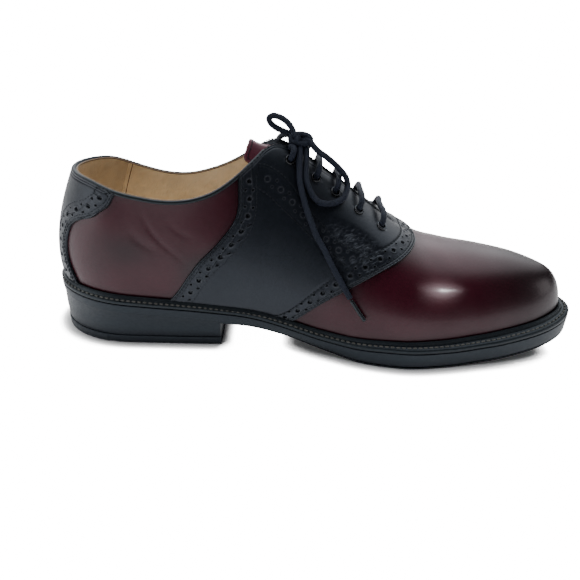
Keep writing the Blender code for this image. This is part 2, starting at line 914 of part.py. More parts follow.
def make_knot(finish):
    """Rounded solid with the knot's outer shape, pinched by the band around its middle."""
    centre = knot_centre()
    rows = np.linspace(0.0, math.pi, knot_segments // 2 + 1)
    turns = np.linspace(0.0, 2 * math.pi, knot_segments, endpoint=False)
    points = []
    for polar in rows:
        for turn in turns:
            points.append(centre + (
                knot_length / 2 * math.sin(polar) * math.cos(turn),
                knot_width / 2 * math.sin(polar) * math.sin(turn),
                knot_height / 2 * math.cos(polar),
            ))
    faces = []
    for row in range(len(rows) - 1):
        for i in range(knot_segments):
            a = row * knot_segments + i
            b = row * knot_segments + (i + 1) % knot_segments
            faces.append([a, b, b + knot_segments, a + knot_segments])
    first, faces = weld(np.array(points), faces)
    return add_mesh("lace_knot", np.array(points)[first], faces, finish)


def make_top_strand(side, reach, finish):
    """Lace from above the top eyelet up to the knot's side."""
    share, level = eyelet_rows[0]
    end = knot_centre() + np.array(reach) * (knot_length / 2, knot_width / 2, knot_height / 2)
    label = "inner" if side < 0 else "outer"
    points = bar_points(share, level, side)[:-1] + [end]
    return make_tube(f"lace_strand_{label}", points, lace_diameter, finish)


def make_cord(name, route, diameter, finish):
    return make_tube(name, along_route(route, 2 * diameter), diameter, finish)


def main():
    for item in list(bpy.data.objects):
        bpy.data.objects.remove(item, do_unlink=True)
    rubber = material("black rubber", (0.018, 0.019, 0.021), 0.55)
    maroon = material("burgundy leather", (0.105, 0.012, 0.020), 0.28)
    black = material("black leather", (0.014, 0.014, 0.016), 0.35)
    lining = material("tan lining leather", (0.62, 0.42, 0.22), 0.70)
    metal = material("black eyelet metal", (0.020, 0.020, 0.022), 0.30, 1.0)
    cord = material("waxed cord", (0.012, 0.014, 0.020), 0.60)
    plastic = material("aglet plastic", (0.015, 0.015, 0.017), 0.25)
    make_outsole(rubber)
    make_heel(rubber)
    make_toplift(rubber)
    make_upper(maroon)
    make_welt(black)
    make_insole(lining)
    make_saddle(black)
    make_counter(black)
    make_tongue(maroon)
    for number, (share, level) in enumerate(eyelet_rows, start=1):
        for side in (-1.0, 1.0):
            make_eyelet(number, share, level, side, metal)
        if number > 1:
            make_lace_bar(number, share, level, cord)
    make_top_strand(-1.0, strand_reach_inner, cord)
    make_top_strand(1.0, strand_reach_outer, cord)
    make_knot(cord)
    make_cord("near_loop", near_loop_route, lace_diameter, cord)
    make_cord("near_end", near_end_route, lace_diameter, cord)
    make_cord("far_loop", far_loop_route, lace_diameter, cord)
    make_cord("far_end", far_end_route, lace_diameter, cord)
    make_cord("near_aglet", near_aglet_route, aglet_diameter, plastic)
    make_cord("far_aglet", far_aglet_route, aglet_diameter, plastic)


main()
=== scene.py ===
import math

import bpy
import numpy as np
from mathutils import Matrix


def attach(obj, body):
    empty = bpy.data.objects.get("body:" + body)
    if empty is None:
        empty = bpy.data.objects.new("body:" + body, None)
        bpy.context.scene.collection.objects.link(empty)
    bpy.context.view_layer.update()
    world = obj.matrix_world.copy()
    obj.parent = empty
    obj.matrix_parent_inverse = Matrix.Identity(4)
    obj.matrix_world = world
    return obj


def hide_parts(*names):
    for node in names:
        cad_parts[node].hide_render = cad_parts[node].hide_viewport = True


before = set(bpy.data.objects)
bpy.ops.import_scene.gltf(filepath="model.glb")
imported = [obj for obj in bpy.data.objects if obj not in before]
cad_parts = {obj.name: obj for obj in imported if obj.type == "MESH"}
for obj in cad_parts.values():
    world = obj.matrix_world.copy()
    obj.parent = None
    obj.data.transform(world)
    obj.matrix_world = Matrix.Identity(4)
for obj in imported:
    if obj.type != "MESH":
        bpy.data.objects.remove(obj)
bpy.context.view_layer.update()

print("frame loaded")

# Metres, toe along +X, inner side of the shoe along -Y. Every surface is worked out from the last:
# a place on the upper is a share along it (0 heel, 1 toe), a level up it (0 sole, 1 top line) and a side.

last = {
    "soleLength": 0.3055, "ballWidth": 0.107, "heelLength": 0.0975, "heelHeight": 0.0148,
    "toeSpring": 0.0108, "toeSwing": 0.0105, "edgeThickness": 0.0065, "treadThickness": 0.0035,
    "weltLedge": 0.0058, "instepHeight": 0.1120, "collarWidth": 0.0605, "gap": 0.0003,
    "heelRound": 0.146, "toeRound": 0.179, "flatStart": 0.600, "flatEnd": 0.730, "throatEnd": 0.683,
    "springPower": 1.8, "swingStart": 0.62, "treadStart": 0.46, "treadEnd": 0.66, "holdStart": 0.7, "hold": 0.15,
    # share, inner and outer half-width as shares of half the ball width
    "plan": ((0, .645, .645), (.16, .638, .645), (.30, .625, .632), (.38, .605, .660), (.45, .655, .745),
             (.52, .765, .865), (.60, .915, .985), (.67, .972, 1.025), (.75, .895, .970), (.82, .780, .900),
             (.88, .700, .840), (.94, .655, .760), (1, .610, .700)),
    # share, underside as a share of the heel's height
    "arch": ((0, 1.520), (.16, 1.255), (.318, 1), (.388, .785), (.427, .605), (.466, .415), (.502, .245),
             (.541, .105), (.57, .03), (.6, 0)),
    # share, ledge, belly out and up, side out and up, shoulder out and up
    "sections": ((0, .62, 1.06, .22, 1.06, .5, .96, .8), (.15, .62, 1.08, .22, 1.08, .5, .975, .8),
                 (.3, .55, 1.11, .22, 1.08, .5, .93, .8), (.37, .45, 1.12, .21, 1.02, .52, .74, .84),
                 (.42, .5, 1.11, .21, .96, .55, .52, .93), (.5, .7, 1.09, .22, .9, .6, .43, .96),
                 (.6, .92, 1.08, .24, .92, .7, .42, .98), (.68, .97, 1.07, .27, .95, .82, .42, 1),
                 (.8, 1, 1.07, .3, .93, .84, .46, 1), (.9, 1, 1.06, .33, .92, .87, .50, 1),
                 (1, 1, 1.05, .35, .92, .88, .52, 1)),
    # share, half opening, inner and outer height as shares of the instep's
    "top": ((0, 1, .861, .861), (.05, 1, .85, .846), (.107, .995, .812, .792), (.15, .99, .791, .763),
            (.19, 1, .778, .75), (.228, .995, .777, .755), (.266, .95, .789, .78), (.303, .86, .818, .818),
            (.341, .7, .873, .873), (.376, .48, .94, .936), (.403, .25, .988, .984), (.419, .16, 1, .998),
            (.442, .125, .986, .986), (.494, .105, .912, .912), (.577, .065, .777, .777),
            (.625, .04, .692, .692), (.68, .012, .604, .604), (.719, 0, .548, .548), (.786, 0, .507, .507),
            (.876, 0, .484, .484), (.944, 0, .468, .468), (1, 0, .438, .438)),
    # heel and toe ends of the upper at its five control points, as shares of the length
    "heelEnds": (.0137, .0010, .0040, .0340, .0525),
    "toeEnds": (.0235, .0190, .0330, .0600, .0830),
}
heelBack = -last["heelLength"] / 2
toeTip = heelBack + last["soleLength"]


def smoothRows(rows, column, at):
    # cubic pieces through a table's column, each knot's slope the mean of its neighbours' slopes
    table = np.array(rows, float)
    knots, values = table[:, 0], table[:, column]
    steps = np.diff(knots)
    slopes = np.diff(values) / steps
    tangents = np.concatenate((slopes[:1], (slopes[:-1] * steps[1:] + slopes[1:] * steps[:-1])
                               / (steps[:-1] + steps[1:]), slopes[-1:]))
    at = np.clip(at, knots[0], knots[-1])
    i = np.clip(np.searchsorted(knots, at, side="right") - 1, 0, len(steps) - 1)
    t = (at - knots[i]) / steps[i]
    return (values[i] * (1 + 2 * t) * (1 - t) ** 2 + tangents[i] * steps[i] * t * (1 - t) ** 2
            + values[i + 1] * (3 - 2 * t) * t ** 2 + tangents[i + 1] * steps[i] * (t - 1) * t ** 2)


def smoothStep(x, start, end):
    t = np.clip((x - start) / (end - start), 0, 1)
    return t * t * (3 - 2 * t)


def shareAt(turn):
    return (1 - np.cos(math.pi * turn)) / 2


def turnAt(share):
    return np.arccos(1 - 2 * np.clip(share, 0, 1)) / math.pi


def endFactor(share):
    # ellipse at heel and toe: sqrt of one minus the square of how far a share is into either end
    heel = 1 - np.minimum(share / last["heelRound"], 1)
    toe = 1 - np.minimum((1 - share) / last["toeRound"], 1)
    return np.sqrt(np.clip((1 - heel ** 2) * (1 - toe ** 2), 0, 1))


def swing(share):
    start = last["swingStart"]
    return -last["toeSwing"] * np.clip((share - start) / (1 - start), 0, 1) ** 2


def underside(share):
    arch = last["heelHeight"] * smoothRows(last["arch"], 1, share)
    run = np.clip((share - last["flatEnd"]) / (1 - last["flatEnd"]), 0, 1)
    return np.where(share < last["flatStart"], arch, last["toeSpring"] * run ** last["springPower"])


def tread(share):
    return last["treadThickness"] * smoothStep(share, last["treadStart"], last["treadEnd"])


def soleTop(share):
    return underside(share) + last["edgeThickness"] + tread(share)


def halfWidth(share, side):
    inner, outer = smoothRows(last["plan"], 1, share), smoothRows(last["plan"], 2, share)
    return np.where(side < 0, inner, outer) * last["ballWidth"] / 2


def bezier(controls, t):
    return sum(w * c * t ** k * (1 - t) ** (4 - k) for k, (w, c) in enumerate(zip((1, 4, 6, 4, 1), controls)))


def lastPoint(turn, level, side):
    # each section is a curve of the fourth degree from feather to top line; both ends are drawn in by
    # the ellipse, and a turn past either end comes round on the other side
    turn, level, side = np.broadcast_arrays(*(np.asarray(v, float) for v in (turn, level, side)))
    past = np.where((turn < 0) | (turn > 1), -1.0, 1.0)
    share = shareAt(turn)
    ledge, belly, bellyUp, middle, middleUp, shoulder, shoulderUp = (
        smoothRows(last["sections"], column, share) for column in range(1, 8))
    foot = halfWidth(share, side) - last["weltLedge"] * ledge
    opening = np.where(share >= last["throatEnd"], 0, smoothRows(last["top"], 1, share) * last["collarWidth"] / 2)
    out = bezier((foot, foot * belly, foot * middle, foot * shoulder, opening), level)
    height = np.where(side < 0, smoothRows(last["top"], 2, share), smoothRows(last["top"], 3, share))
    rear, front = last["heelEnds"][0], last["toeEnds"][0]
    base = soleTop(rear + (1 - front - rear) * share) + last["gap"]
    rise = height * last["instepHeight"] - base
    rear = bezier(last["heelEnds"], level)
    # over the toe the front end stops moving towards the ridge, so both sides meet without a fold
    late = np.clip((level - last["holdStart"]) / (1 - last["holdStart"]), 0, 1)
    calm = smoothStep(share, 0.72, 0.86)
    front = 1 - bezier(last["toeEnds"], level - calm * last["hold"] * late ** 2)
    x = heelBack + last["soleLength"] * (rear + (front - rear) * share)
    y = swing(share) + past * side * out * endFactor(share)
    z = base + rise * bezier((0, bellyUp, middleUp, shoulderUp, 1), level)
    return np.stack((x, y, z), -1)


def unit(v):
    return v / np.maximum(np.linalg.norm(v, axis=-1, keepdims=True), 1e-12)


def runOf(points):
    # length along a polyline at each of its points
    return np.concatenate(((0,), np.cumsum(np.linalg.norm(np.diff(points, axis=0), axis=1))))


def lastNormal(turn, level, side):
    # cross product of the steps along and up the skin, turned outward; on the ridge it stays upright
    turn, level, side = np.broadcast_arrays(*(np.asarray(v, float) for v in (turn, level, side)))
    step = 0.002
    high = np.clip(level + step, 2 * step, 1)
    along = lastPoint(turn + step, level, side) - lastPoint(turn - step, level, side)
    up = lastPoint(turn, high, side) - lastPoint(turn, high - 2 * step, side)
    normal = unit(np.cross(along, up) * -side[..., None])
    ridge = (level > 1 - 1e-9) & (shareAt(turn) >= last["throatEnd"])
    upright = unit(np.stack((-along[..., 2], 0 * along[..., 2], along[..., 0]), -1))
    return np.where(ridge[..., None], upright, normal)


# metres of skin that one level is on the quarter, roughly
levelHeight = 0.075

# Creases of the leather: side, share and level of both ends, depth and width in metres
creaseWander = 0.0016
creases = (
    (-1, .165, .86, .262, .40, .00022, .0036),
    (-1, .150, .72, .200, .50, .00018, .0060),
    (-1, .215, .86, .268, .60, .00010, .0040),
    (1, .165, .84, .255, .42, .00045, .0045),
    (1, .200, .90, .262, .62, .00030, .0045),
    (1, .770, .90, .720, .40, .00022, .0160),
)


def creaseHeight(turn, level, side):
    # each crease is a bell-shaped trough across its line, fading out at both ends, with soft banks
    share = shareAt(np.abs(turn))
    run, rise = share * last["soleLength"], level * levelHeight
    total = 0 * run * level
    for which, share0, level0, share1, level1, depth, width in creases:
        start = np.array((share0 * last["soleLength"], level0 * levelHeight))
        way = np.array((share1 * last["soleLength"], level1 * levelHeight)) - start
        length = np.hypot(*way)
        way = way / length
        along = ((run - start[0]) * way[0] + (rise - start[1]) * way[1]) / length
        across = (run - start[0]) * -way[1] + (rise - start[1]) * way[0]
        across = across + creaseWander * np.sin(5 * along)
        bell = np.exp(-(across / width * 2) ** 2) * (1 - (across / width * 1.6) ** 2)
        fade = smoothStep(along, -0.15, 0.3) * (1 - smoothStep(along, 0.7, 1.15))
        total = total - np.where(side == which, depth * bell * fade, 0)
    return total


def skin(turn, level, side, height=0.0):
    # a place on the last plus a height along its normal, sunk by the creases
    turn, level, side = np.broadcast_arrays(*(np.asarray(v, float) for v in (turn, level, side)))
    lift = height + creaseHeight(turn, level, side)
    return lastPoint(turn, level, side) + lastNormal(turn, level, side) * np.asarray(lift)[..., None]


def levelAt(turn, side, height):
    # level at which the skin stands a height above the sole, by halving
    turn = np.asarray(turn, float)
    low, high = np.zeros_like(turn), np.full_like(turn, 0.5)
    share = shareAt(turn)
    base = soleTop(last["heelEnds"][0] + (1 - last["toeEnds"][0] - last["heelEnds"][0]) * share)
    for _ in range(24):
        middle = (low + high) / 2
        below = lastPoint(turn, middle, side)[..., 2] - base < height
        low, high = np.where(below, middle, low), np.where(below, high, middle)
    return (low + high) / 2


# Meshes

def addMesh(name, points, faces, materials, which=None, attributes=None, uv=None, sharp=40):
    # faces are quads, a corner named twice in a row makes a triangle
    faces = np.asarray(faces, np.int64)
    keep = faces != np.roll(faces, -1, axis=1)
    counts = keep.sum(1)
    good = counts > 2
    faces, keep, counts = faces[good], keep[good], counts[good]
    mesh = bpy.data.meshes.new(name)
    mesh.vertices.add(len(points))
    mesh.vertices.foreach_set("co", np.asarray(points, np.float32).ravel())
    loops = faces[keep]
    mesh.loops.add(len(loops))
    mesh.loops.foreach_set("vertex_index", loops.astype(np.int32))
    mesh.polygons.add(len(counts))
    mesh.polygons.foreach_set("loop_start", (np.cumsum(counts) - counts).astype(np.int32))
    mesh.update(calc_edges=True)
    for finish in materials:
        mesh.materials.append(finish)
    if which is not None:
        mesh.polygons.foreach_set("material_index", np.asarray(which, np.int32)[good])
    for label, values in (attributes or {}).items():
        layer = mesh.attributes.new(label, "FLOAT", "POINT")
        layer.data.foreach_set("value", np.asarray(values, np.float32).ravel())
    if uv is not None:
        layer = mesh.uv_layers.new(name="UVMap")
        layer.data.foreach_set("uv", np.asarray(uv, np.float32)[good][keep].ravel())
    mesh.validate()
    mesh.shade_smooth()
    mesh.set_sharp_from_angle(angle=math.radians(sharp))
    piece = bpy.data.objects.new(name, mesh)
    bpy.context.scene.collection.objects.link(piece)
    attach(piece, "root")
    return piece


def gridQuads(rows, columns, start=0, flip=False):
    # corner numbers of a grid's quads
    a = (np.arange(rows - 1)[:, None] * columns + np.arange(columns - 1)[None, :]).ravel() + start
    quads = np.stack((a, a + columns, a + columns + 1, a + 1), 1)
    return quads[:, ::-1] if flip else quads


def ringQuads(rings, around, start=0, flip=False):
    # corner numbers of the quads between closed rings
    row = np.arange(rings - 1)[:, None] * around + start
    a, b = (row + np.arange(around)).ravel(), (row + (np.arange(around) + 1) % around).ravel()
    return np.stack((a, b, b + around, a + around) if flip else (a, a + around, b + around, b), 1)


def weldIndex(points):
    # first point and new number of each place, to a micrometre
    _, first, which = np.unique(np.round(points * 1e6).astype(np.int64), axis=0,
                                return_index=True, return_inverse=True)
    return first, which.reshape(-1)


def weldedMesh(name, points, faces, finish, sharp):
    first, which = weldIndex(points)
    return addMesh(name, points[first], which[faces], [finish], sharp=sharp)


def shell(name, patches, materials, sharp=40):
    # closed wall: patches of an outer and an inner grid with one flip each, welded where they meet,
    # and walled over along every edge that has a face on one side only
    outer = np.concatenate([p["outer"].reshape(-1, 3) for p in patches])
    inner = np.concatenate([p["inner"].reshape(-1, 3) for p in patches])
    quads, start = [], 0
    for p in patches:
        rows, columns = p["outer"].shape[:2]
        quads.append(gridQuads(rows, columns, start, p["flip"]))
        start += rows * columns
    first, which = weldIndex(outer)
    quads = which[np.concatenate(quads)]
    keep = (quads != np.roll(quads, -1, axis=1)).sum(1) > 2
    quads = quads[keep]
    count = len(first)
    a, b = quads.ravel(), np.roll(quads, -1, axis=1).ravel()
    real = a != b
    a, b = a[real], b[real]
    lone = ~np.isin(a * count + b, b * count + a)
    a, b = a[lone], b[lone]
    rim = np.stack((b, a, count + a, count + b), 1)
    points = np.concatenate((outer[first], inner[first]))
    faces = np.concatenate((quads, count + quads[:, ::-1], rim))
    slots = [0, min(1, len(materials) - 1), min(2, len(materials) - 1)]
    sizes = [len(quads), len(quads), len(rim)]
    attributes = {}
    for label in patches[0].get("attributes", {}):
        values = np.concatenate([p["attributes"][label].ravel() for p in patches])[first]
        within = np.concatenate([p.get("within", p["attributes"])[label].ravel() for p in patches])[first]
        attributes[label] = np.concatenate((values, within))
    return addMesh(name, points, faces, materials, np.repeat(slots, sizes), attributes, sharp=sharp)


def tubeGrid(path, sizes, around):
    # rings square to a path: centre + size * (cos * side + sin * up), with side and up carried along
    ahead = unit(np.gradient(path, axis=0))
    side = np.zeros_like(path)
    hint = np.cross(ahead[0], (0, 0, 1))
    if np.linalg.norm(hint) < 0.1:
        hint = np.cross(ahead[0], (0, 1, 0))
    for i in range(len(path)):  # one step per ring
        hint = hint - ahead[i] * np.dot(hint, ahead[i])
        hint = hint / np.linalg.norm(hint)
        side[i] = hint
    up = np.cross(side, ahead)
    angle = np.linspace(0, 2 * math.pi, around, endpoint=False)[:, None]
    return path[:, None] + sizes[:, None, None] * (np.cos(angle) * side[:, None] + np.sin(angle) * up[:, None])


def tube(name, path, radius, finish, around=20, rounded=True):
    # round cord with domed ends: rings shrink along a quarter circle before both caps
    sizes = np.full(len(path), radius)
    if rounded:
        dome = np.array((math.pi / 2, math.pi / 3, math.pi / 6))
        small = radius * np.cos(dome) + 1e-6
        step = radius * 0.5 * (1 - np.sin(dome))[:, None]
        head = path[0] + unit(path[1] - path[0]) * step
        tail = path[-1] + unit(path[-2] - path[-1]) * step
        path = np.concatenate((head, path[1:-1], tail[::-1]))
        sizes = np.concatenate((small, sizes[1:-1], small[::-1]))
    rows, ring = len(path), np.arange(around)
    # UV: once around the cord, and along it in its own thickness
    v = runOf(path) / (2 * np.median(sizes))
    u0, v0, v1 = np.tile(ring / around, rows - 1), np.repeat(v[:-1], around), np.repeat(v[1:], around)
    u1 = u0 + 1 / around
    uv = np.stack([np.stack(corner, 1) for corner in ((u0, v0), (u0, v1), (u1, v1), (u1, v0))], 1)
    uv = np.concatenate((uv, np.zeros((2 * around, 4, 2))))
    total, far, after = rows * around, (rows - 1) * around, (ring + 1) % around
    caps = [np.stack((0 * ring + middle, 0 * ring + middle, a, b), 1)
            for middle, a, b in ((total, ring, after), (total + 1, far + after, far + ring))]
    points = np.concatenate((tubeGrid(path, sizes, around).reshape(-1, 3), path[[0, -1]]))
    return addMesh(name, points, np.concatenate((ringQuads(rows, around), *caps)), [finish], uv=uv, sharp=60)


def evenSteps(run, spacing):
    return np.linspace(0, run[-1], max(3, int(round(run[-1] / spacing)) + 1))


def valuesAt(at, run, rows):
    # a polyline's columns at a length along it
    return np.stack([np.interp(at, run, column) for column in rows.T], -1)


def resample(path, spacing):
    # points a distance apart along a polyline
    run = runOf(path)
    return valuesAt(evenSteps(run, spacing), run, path)


def alongRoute(route, spacing):
    # smooth curve through a route's own points
    run = runOf(route)
    rows, at = np.column_stack((run, route)), evenSteps(run, spacing)
    return np.column_stack([smoothRows(rows, column, at) for column in (1, 2, 3)])


# Lines on the skin, as arrays of turn and level

def offsetLine(turn, level, side, distance):
    # moves a line sideways on the skin: each step solves the skin's own slopes for a move across the line
    turn, level = np.array(turn, float), np.array(level, float)
    steps, e = 6, 0.001
    for _ in range(steps):
        point = lastPoint(turn, level, side)
        byTurn = (lastPoint(turn + e, level, side) - point) / e
        low = np.where(level > 0.5, -e, e)
        byLevel = (lastPoint(turn, level + low, side) - point) / low[:, None]
        ahead = unit(np.gradient(point, axis=0))
        move = np.cross(lastNormal(turn, level, side), ahead) * distance / steps
        tt, tl, ll = (byTurn ** 2).sum(1), (byTurn * byLevel).sum(1), (byLevel ** 2).sum(1)
        mt, ml = (byTurn * move).sum(1), (byLevel * move).sum(1)
        det = tt * ll - tl ** 2
        turn = turn + (ll * mt - tl * ml) / det
        level = np.clip(level + (tt * ml - tl * mt) / det, 0, 1)
    return turn, level


def evenLine(turn, level, side, spacing):
    # the same line with its points a distance apart on the skin
    run = runOf(lastPoint(turn, level, side))
    at = evenSteps(run, spacing)
    return np.interp(at, run, turn), np.interp(at, run, level)


# Materials

class Nodes:
    # shorthand for a node tree: add a node, set its values, link its inputs
    def __init__(self, tree):
        self.tree = tree

    def fill(self, node, inputs):
        # an input is linked where its value is another node's output, and set otherwise
        for label, value in inputs.items():
            if isinstance(value, bpy.types.NodeSocket):
                self.tree.links.new(value, node.inputs[label])
            else:
                node.inputs[label].default_value = value
        return node

    def add(self, kind, inputs=None, **settings):
        node = self.tree.nodes.new(kind)
        for label, value in settings.items():
            setattr(node, label, value)
        return self.fill(node, inputs or {})

    def math(self, operation, a, b=0.0, clamp=False):
        return self.add("ShaderNodeMath", {0: a, 1: b}, operation=operation, use_clamp=clamp).outputs[0]

    def mapRange(self, value, low, high, toLow=0.0, toHigh=1.0):
        return self.add("ShaderNodeMapRange", {0: value, 1: low, 2: high, 3: toLow, 4: toHigh}).outputs[0]

    def mixColor(self, factor, a, b):
        return self.add("ShaderNodeMix", {0: factor, 6: a, 7: b}, data_type="RGBA").outputs[2]

    def place(self):
        return self.add("ShaderNodeTexCoord").outputs["Object"]


def newGroup(name, label, value, outputs):
    # node group with one float input and float outputs; gives the group, its nodes and its input
    group = bpy.data.node_groups.new(name, "ShaderNodeTree")
    group.interface.new_socket(name=label, in_out="INPUT", socket_type="NodeSocketFloat").default_value = value
    for output in outputs:
        group.interface.new_socket(name=output, in_out="OUTPUT", socket_type="NodeSocketFloat")
    n = Nodes(group)
    return group, n, n.add("NodeGroupInput").outputs[label]


def grainGroup():
    # leather grain: fine pores from cell edges and soft noise, and a broad mottle for colour and gloss
    group, n, size = newGroup("leatherGrain", "Pore size", 0.0009, ("Height", "Mottle"))
    place, scale = n.place(), n.math("DIVIDE", 1.0, size)
    cells = n.add("ShaderNodeTexVoronoi", {"Vector": place, "Scale": scale}, feature="DISTANCE_TO_EDGE")
    pores = n.mapRange(cells.outputs["Distance"], 0.0, 0.22)
    fine = n.add("ShaderNodeTexNoise", {"Vector": place, "Scale": n.math("MULTIPLY", scale, 0.45),
                                        "Detail": 4.0, "Roughness": 0.6})
    broad = n.add("ShaderNodeTexNoise", {"Vector": place, "Scale": 38.0, "Detail": 3.0, "Roughness": 0.55})
    height = n.math("ADD", n.math("MULTIPLY", pores, 0.5), n.math("MULTIPLY", fine.outputs["Fac"], 0.9))
    n.add("NodeGroupOutput", {"Height": height, "Mottle": broad.outputs["Fac"]})
    return group


def weaveGroup():
    # braid on a cord: two sets of slanting ridges over the piece's UV, one over the other in turn
    group, n, strands = newGroup("cordWeave", "Strands", 6.0, ("Height",))
    uv = n.add("ShaderNodeSeparateXYZ", {0: n.add("ShaderNodeUVMap", uv_map="UVMap").outputs[0]})
    around = n.math("MULTIPLY", n.math("MULTIPLY", uv.outputs[0], strands), 2 * math.pi)
    along = n.math("MULTIPLY", n.math("MULTIPLY", uv.outputs[1], strands), 2.6)
    left = n.math("ABSOLUTE", n.math("SINE", n.math("ADD", around, along)))
    right = n.math("ABSOLUTE", n.math("SINE", n.math("SUBTRACT", around, along)))
    n.add("NodeGroupOutput", {"Height": n.math("MAXIMUM", left, right)})
    return group


def dustGroup():
    # faint dust and rubbing: soft cloud with fine specks
    group, n, amount = newGroup("faintDust", "Amount", 0.3, ("Mask",))
    place = n.place()
    cloud = n.add("ShaderNodeTexNoise", {"Vector": place, "Scale": 55.0, "Detail": 6.0, "Roughness": 0.65})
    speck = n.add("ShaderNodeTexNoise", {"Vector": place, "Scale": 900.0, "Detail": 2.0})
    mask = n.math("MULTIPLY", n.mapRange(cloud.outputs["Fac"], 0.5, 0.75), n.mapRange(speck.outputs["Fac"], 0.45, 0.7))
    n.add("NodeGroupOutput", {"Mask": n.math("MULTIPLY", mask, amount, True)})
    return group


grain, weave, dust = grainGroup(), weaveGroup(), dustGroup()


def newMaterial(name):
    made = bpy.data.materials.new(name)
    made.use_nodes = True
    return made, Nodes(made.node_tree), made.node_tree.nodes["Principled BSDF"]


def leather(name, look):
    # smooth leather: light to middle shade by the mottle, dark by the burnishAndShade attribute (burnishing
    # and painted shade), gloss from a clear coat, pores as a bump; the well attribute paints shade into
    # punched holes and a painted highlight on their lips, and the crumple attribute wrinkles the leather
    made, n, shader = newMaterial(name)
    pores = n.add("ShaderNodeGroup", {"Pore size": look["pore"]}, node_tree=grain).outputs
    specks = n.add("ShaderNodeGroup", {"Amount": look["dust"]}, node_tree=dust).outputs["Mask"]
    burnishAndShade, well, crumple = (n.add("ShaderNodeAttribute", attribute_name=label).outputs["Fac"]
                              for label in ("burnishAndShade", "well", "crumple"))
    mottle = n.mapRange(pores["Mottle"], 0.3, 0.7)
    tone = n.mixColor(mottle, (*look["light"], 1), (*look["middle"], 1))
    # a painted highlight on the lips of punched holes, and painted shade in their pits
    for mask, shade in ((burnishAndShade, "dark"), (specks, "dustColor"), (n.mapRange(well, 0.0, -1.0), "lip"),
                        (n.mapRange(well, 0.0, 1.0), "paintedPitShade")):
        tone = n.mixColor(mask, tone, (*look[shade], 1))
    rough = n.mapRange(mottle, 0.0, 1.0, look["rough"] - 0.04, look["rough"] + 0.05)
    bump = n.add("ShaderNodeBump", {"Height": pores["Height"], "Strength": look["bump"], "Distance": 0.0002})
    # wrinkles run up towards the toe, so the noise is drawn out that way
    place = n.add("ShaderNodeMapping", {"Vector": n.place(), "Rotation": (0, -0.6, 0), "Scale": (1.9, 1, 0.85)},
                  vector_type="TEXTURE").outputs["Vector"]
    folds = n.add("ShaderNodeTexNoise", {"Vector": place, "Scale": look["folds"], "Detail": 1.0, "Distortion": 0.5})
    bump = n.add("ShaderNodeBump", {"Height": n.math("MULTIPLY", folds.outputs["Fac"], crumple), "Strength": 1.0,
                                    "Distance": 0.0022, "Normal": bump.outputs[0]})
    n.fill(shader, {"Base Color": tone, "Roughness": rough, "Normal": bump.outputs[0],
                    "Specular IOR Level": look["sheen"], "Specular Tint": (*look["tint"], 1),
                    "Coat Weight": look["coat"], "Coat Roughness": look["coatRough"]})
    return made


# lip is a painted highlight on the lips of punched holes, paintedPitShade painted shade in their pits
burgundyLook = {
    "light": (0.050, 0.0045, 0.0125), "middle": (0.036, 0.0032, 0.0090), "dark": (0.0045, 0.0010, 0.0022),
    "dustColor": (0.10, 0.05, 0.06), "paintedPitShade": (0.002, 0.001, 0.001), "pore": 0.0007, "dust": 0.10,
    "rough": 0.34, "bump": 0.12, "coat": 0.10, "coatRough": 0.14, "sheen": 0.38, "tint": (1.0, 0.84, 0.89),
    "folds": 500.0, "lip": (0.04, 0.02, 0.025)}
burgundy = leather("burgundyLeather", burgundyLook)
# the tongue's burgundy, painted lighter than the upper's to stand in for the light that falls on it
tongueBurgundyPaintedLighter = leather("tongueBurgundyPaintedLighter", {**burgundyLook, "light": (0.125, 0.024, 0.044),
                                          "middle": (0.095, 0.016, 0.032), "rough": 0.5})
# lip is a painted highlight on the lips of punched holes, paintedPitShade painted shade in their pits
blackLeather = leather("blackLeather", {
    "light": (0.0038, 0.0048, 0.0086), "middle": (0.0025, 0.0033, 0.0061), "dark": (0.0011, 0.0013, 0.0023),
    "dustColor": (0.03, 0.03, 0.035), "paintedPitShade": (0.0004, 0.0004, 0.0004), "pore": 0.0008, "dust": 0.16,
    "rough": 0.42, "bump": 0.22, "coat": 0.08, "coatRough": 0.22, "sheen": 0.46, "tint": (0.76, 0.85, 1.0),
    "folds": 400.0, "lip": (0.034, 0.036, 0.043)})
# the lining's beige, painted paler than its own colour for the light that falls into the shoe from above
liningLeather = leather("liningLeather", {
    "light": (0.97, 0.82, 0.61), "middle": (0.80, 0.65, 0.46), "dark": (0.24, 0.17, 0.11),
    "dustColor": (0.5, 0.4, 0.3), "paintedPitShade": (0.05, 0.03, 0.01), "pore": 0.0006, "dust": 0.10,
    "rough": 0.62, "bump": 0.25, "coat": 0.0, "coatRough": 0.4, "sheen": 0.3, "tint": (1, 1, 1),
    "folds": 260.0, "lip": (0.5, 0.4, 0.3)})


def plain(name, look):
    # rubber, thread and metal: one shade with a little dust, fine noise as a bump
    made, n, shader = newMaterial(name)
    specks = n.add("ShaderNodeGroup", {"Amount": look["dust"]}, node_tree=dust).outputs["Mask"]
    noise = n.add("ShaderNodeTexNoise", {"Vector": n.place(), "Scale": look["scale"], "Detail": 3.0}).outputs["Fac"]
    bump = n.add("ShaderNodeBump", {"Height": noise, "Strength": look["bump"], "Distance": 0.0002})
    n.fill(shader, {"Base Color": n.mixColor(specks, (*look["color"], 1), (*look["dustColor"], 1)),
                    "Roughness": n.mapRange(noise, 0.3, 0.7, look["rough"] - 0.05, look["rough"] + 0.05),
                    "Normal": bump.outputs[0], "Metallic": look.get("metallic", 0.0),
                    "Specular IOR Level": 0.42, "Specular Tint": (0.74, 0.88, 1.0, 1)})
    return made


